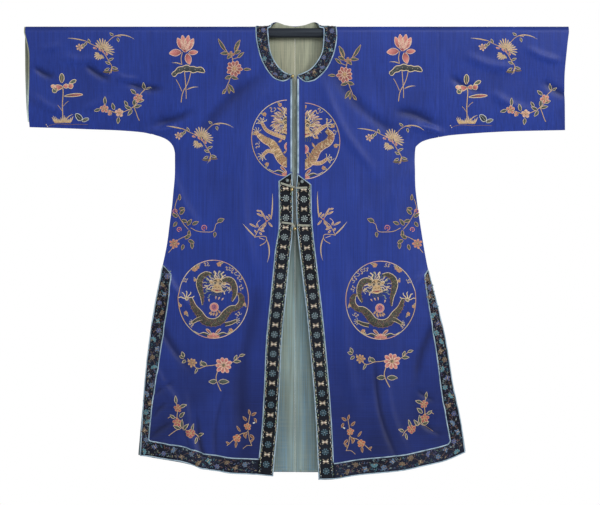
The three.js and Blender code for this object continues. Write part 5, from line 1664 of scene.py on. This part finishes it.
def medallion(brush, share):
    """A ring of eight pale knots round a small wheel. share runs from pale ones to teal ones."""
    pale = (1 - share) * np.array(colour(196, 212, 212)) + share * np.array(colour(96, 136, 154))
    for i in range(8):
        turn = math.radians(i * 45 + 20)
        brush.at(6.5 * math.cos(turn), 6.5 * math.sin(turn)).disc(1.7, pale, pale * 0.6, 0.8, 7)
    brush.cord(arc(3.5, 0, 360, 1.4), 1.0, pale * 0.7)
    for i in range(4):
        brush.at(0, 0, i * 90 + 45).cord([(0, 0.8), (0, 2.2), (0, 3.4)], 0.9, pale)
    brush.disc(1.3, WHITE, GREY_BLUE, 1.2, 7)


def crossed(brush):
    """A pale bar between four thin arms."""
    pale = colour(226, 218, 198)
    for turn in (38, 142, 218, 322):
        brush.at(0, 0, turn).lobe(9.0, 1.9, BROWN, colour(182, 166, 146), colour(176, 164, 144), 0.7, steps=6,
                                  blunt=1.5)
    for turn in (0, 180):
        brush.at(0, 0, turn).lobe(7.0, 2.8, colour(232, 220, 202), pale, pale, 0.8, steps=5, blunt=1.2)
    for turn in (90, 270):
        brush.at(0, 0, turn).lobe(4.0, 1.8, ROSE, GREEN, GREEN, 0.5, steps=4)
    brush.disc(1.6, colour(232, 212, 196), ROSE, 1.3, 8)


def build_front_figures():
    rng = np.random.default_rng(5)
    for side in SIGN:
        band = BANDS[f"front_{side}"]
        work = Needlework("front", BORDER + FIGURE_LIFT)
        for high, spacing, count in FIGURE_RUNS[side]:
            for i in range(count):
                t = float(np.interp(-(high - spacing * i), -band.mid[:, 1], band.along))
                at_top = t < MEDALLION_ROOM
                place = band.spot(t + 4, -0.14) if at_top else band.spot(t)
                brush = Brush(work, *place).at(0, 0, 0, 0.5 if at_top else 1.0)
                if i % 2:
                    crossed(brush)
                else:
                    medallion(brush, min(1.0, 1.3 * t / band.length))
        for across in (-0.37, 0.37):
            for i, t in enumerate(np.arange(9 if across < 0 else 14, band.length - 6, DOT_SPACING)):
                brush = Brush(work, *band.spot(t, across + 0.03 * rng.standard_normal()))
                tint = (WHITE, PALE_GREEN, WHITE, GREY_BLUE, BEIGE)[rng.integers(5)]
                brush.disc(0.8 + 0.7 * rng.random(), tint, height=0.9, spokes=6)
                if i % 5 == 1:
                    brush.at(0, 0, 180 if across < 0 else 0).lobe(
                        3.4, 1.7, DARK_GREEN, GREEN, PALE_GREEN, 0.5, steps=4)
        work.piece(f"figures_front_{side}", "thread", "front_border")


BLOSSOMS = [(colour(44, 46, 92), colour(86, 92, 150), colour(122, 138, 172)),
            (colour(34, 74, 92), colour(80, 140, 156), colour(136, 176, 184)),
            (colour(40, 56, 96), colour(88, 120, 160), colour(140, 160, 176)),
            (colour(64, 46, 40), colour(132, 106, 80), colour(150, 134, 108))]
MUTED = (colour(62, 118, 134), colour(78, 96, 136), colour(152, 136, 108), colour(112, 78, 60),
         colour(98, 116, 104),
         colour(158, 176, 178), colour(92, 84, 128), colour(126, 90, 88))
BAND_FULL = 40.0
VINE_SWING, VINE_PITCH = 0.17, 44
BLOSSOM_SPACING, CURL_SPACING, SPECK_SPACING = 22.0, 3.0, 2.0


def blossom(brush, kind, rng):
    root, tip, edge = BLOSSOMS[rng.integers(len(BLOSSOMS))]
    if kind == 0:
        for i in range(6):
            brush.at(0, 0, i * 60).at(0, 1.6).lobe(6.2, 4.6, root, tip, edge, 0.6, steps=5, blunt=0.6)
        brush.disc(1.7, BEIGE, BROWN, 1.3, 8)
    elif kind == 1:
        for turn in (-78, -40, 0, 40, 78):
            brush.at(0, -3, turn).lobe(9.5, 4.2, root, tip, edge, 0.6, steps=5)
        brush.at(0, -3).disc(2.0, BEIGE, GREEN, 1.2, 8)
    else:
        for turn, long in ((50, 9), (130, 7), (-50, 9), (-130, 7)):
            brush.at(0, 0, turn).lobe(long, long * 0.62, root, tip, edge, 0.6, steps=5, blunt=0.7)
        brush.cord([(0, -4), (0, 4)], 1.6, BEIGE, 1.4)


def build_side_figures():
    """A winding stem with blossoms in its bends, leaves, curls and single knots between them."""
    for name, band in BANDS.items():
        if name.startswith("front_") and "side" not in name:
            continue
        rng = np.random.default_rng(sum(map(ord, name)))
        work = Needlework(band.face, BORDER + FIGURE_LIFT)
        t = np.arange(10, band.length - 8, 4.0)
        vine = np.array([band.spot(v, VINE_SWING * math.sin(v * 2 * math.pi / VINE_PITCH))[0] for v in t])
        work.cord(vine, 1.2, 0.6, BROWN)
        for i, at in enumerate(np.arange(16, band.length - 12, BLOSSOM_SPACING)):
            across = 0.15 * (-1) ** i + 0.04 * rng.standard_normal()
            size = (0.8 + 0.16 * rng.random()) * min(1.0, band.width / BAND_FULL)
            blossom(Brush(work, *band.spot(at, across)).at(0, 0, 360 * rng.random(), size), i % 3, rng)
        for i, at in enumerate(np.arange(6, band.length - 6, CURL_SPACING)):
            brush = Brush(work, *band.spot(at, 0.3 * (1 - 2 * (i % 2)) * (0.5 + 0.6 * rng.random())))
            brush = brush.at(0, 0, 360 * rng.random())
            tint = MUTED[rng.integers(len(MUTED))]
            if i % 3:
                brush.cord(arc(1.6 + 1.2 * rng.random(), 0, 230, 1.5), 0.9, tint)
            else:
                brush.lobe(6.0, 2.6, DARK_GREEN, tint, tint, 0.5, bend=0.25, steps=4)
        for at in np.arange(6, band.length - 5, SPECK_SPACING):
            brush = Brush(work, *band.spot(at, 0.38 * (2 * rng.random() - 1)))
            brush.disc(0.6 + 0.4 * rng.random(), MUTED[rng.integers(len(MUTED))], height=0.9, spokes=5)
        work.piece(f"figures_{name}", "thread", "side_border")


# ---------------------------------------------------------------- light, floor
def area_light(name, where, aim, size, watts, tint=(1, 1, 1)):
    light = bpy.data.lights.new(name, "AREA")
    light.shape = "RECTANGLE"
    light.size, light.size_y = size
    light.energy = watts
    light.color = tint
    holder = bpy.data.objects.new(name, light)
    holder.location = where
    toward = np.array(aim) - np.array(where)
    holder.rotation_euler = mathutils.Vector(toward).to_track_quat("-Z", "Y").to_euler()
    bpy.context.scene.collection.objects.link(holder)


def build_studio():
    world = bpy.data.worlds.new("studio")
    bpy.context.scene.world = world
    world.use_nodes = True
    tree = world.node_tree
    background = tree.nodes["Background"]
    seen = tree.nodes.new("ShaderNodeBackground")
    seen.inputs["Color"].default_value = (1, 1, 1, 1)
    background.inputs["Color"].default_value = (0.9, 0.95, 1, 1)
    background.inputs["Strength"].default_value = 0.32
    path = tree.nodes.new("ShaderNodeLightPath")
    either = tree.nodes.new("ShaderNodeMixShader")
    tree.links.new(path.outputs["Is Camera Ray"], either.inputs[0])
    tree.links.new(background.outputs[0], either.inputs[1])
    tree.links.new(seen.outputs[0], either.inputs[2])
    tree.links.new(either.outputs[0], tree.nodes["World Output"].inputs["Surface"])
    area_light("key", (2.5, -2.6, 0.9), (0, 0, -0.5), (0.9, 1.1), 78, (1.0, 0.98, 0.95))
    area_light("front", (0.7, -3.6, 2.0), (0, 0, -0.5), (1.8, 1.8), 66)
    area_light("fill", (-2.8, -2.6, -0.2), (0, 0, -0.5), (2.2, 2.2), 24, (0.94, 0.97, 1.0))
    area_light("behind", (0.6, 2.8, 0.2), (0, 0, -0.5), (2.0, 1.6), 60)
    bpy.context.scene.view_settings.view_transform = "Standard"


def build_floor():
    """A pale round floor below the coat."""
    radius, z, count = 1.1, -1.25, 96
    angle = np.arange(count) * 2 * np.pi / count
    points = [(0, 0, z), *np.stack([radius * np.cos(angle), radius * np.sin(angle), np.full(count, z)],
                                   axis=1)]
    faces = [(0, 1 + i, 1 + (i + 1) % count) for i in range(count)]
    mesh = bpy.data.meshes.new("floor")
    mesh.from_pydata(points, [], faces)
    n = Nodes("floor_paint", 0.8, specular=0.2)
    n.base(n.mix(n.noise(n.place(), 3.0), (0.86, 0.86, 0.86), (0.9, 0.9, 0.9)))
    mesh.materials.append(n.material)
    floor = bpy.data.objects.new("floor", mesh)
    bpy.context.scene.collection.objects.link(floor)


build_cloth()
build_rod()
BANDS = build_borders()
build_straps()
build_buttons()
build_sprays()
build_roundels()
build_front_figures()
build_side_figures()
build_studio()
build_floor()
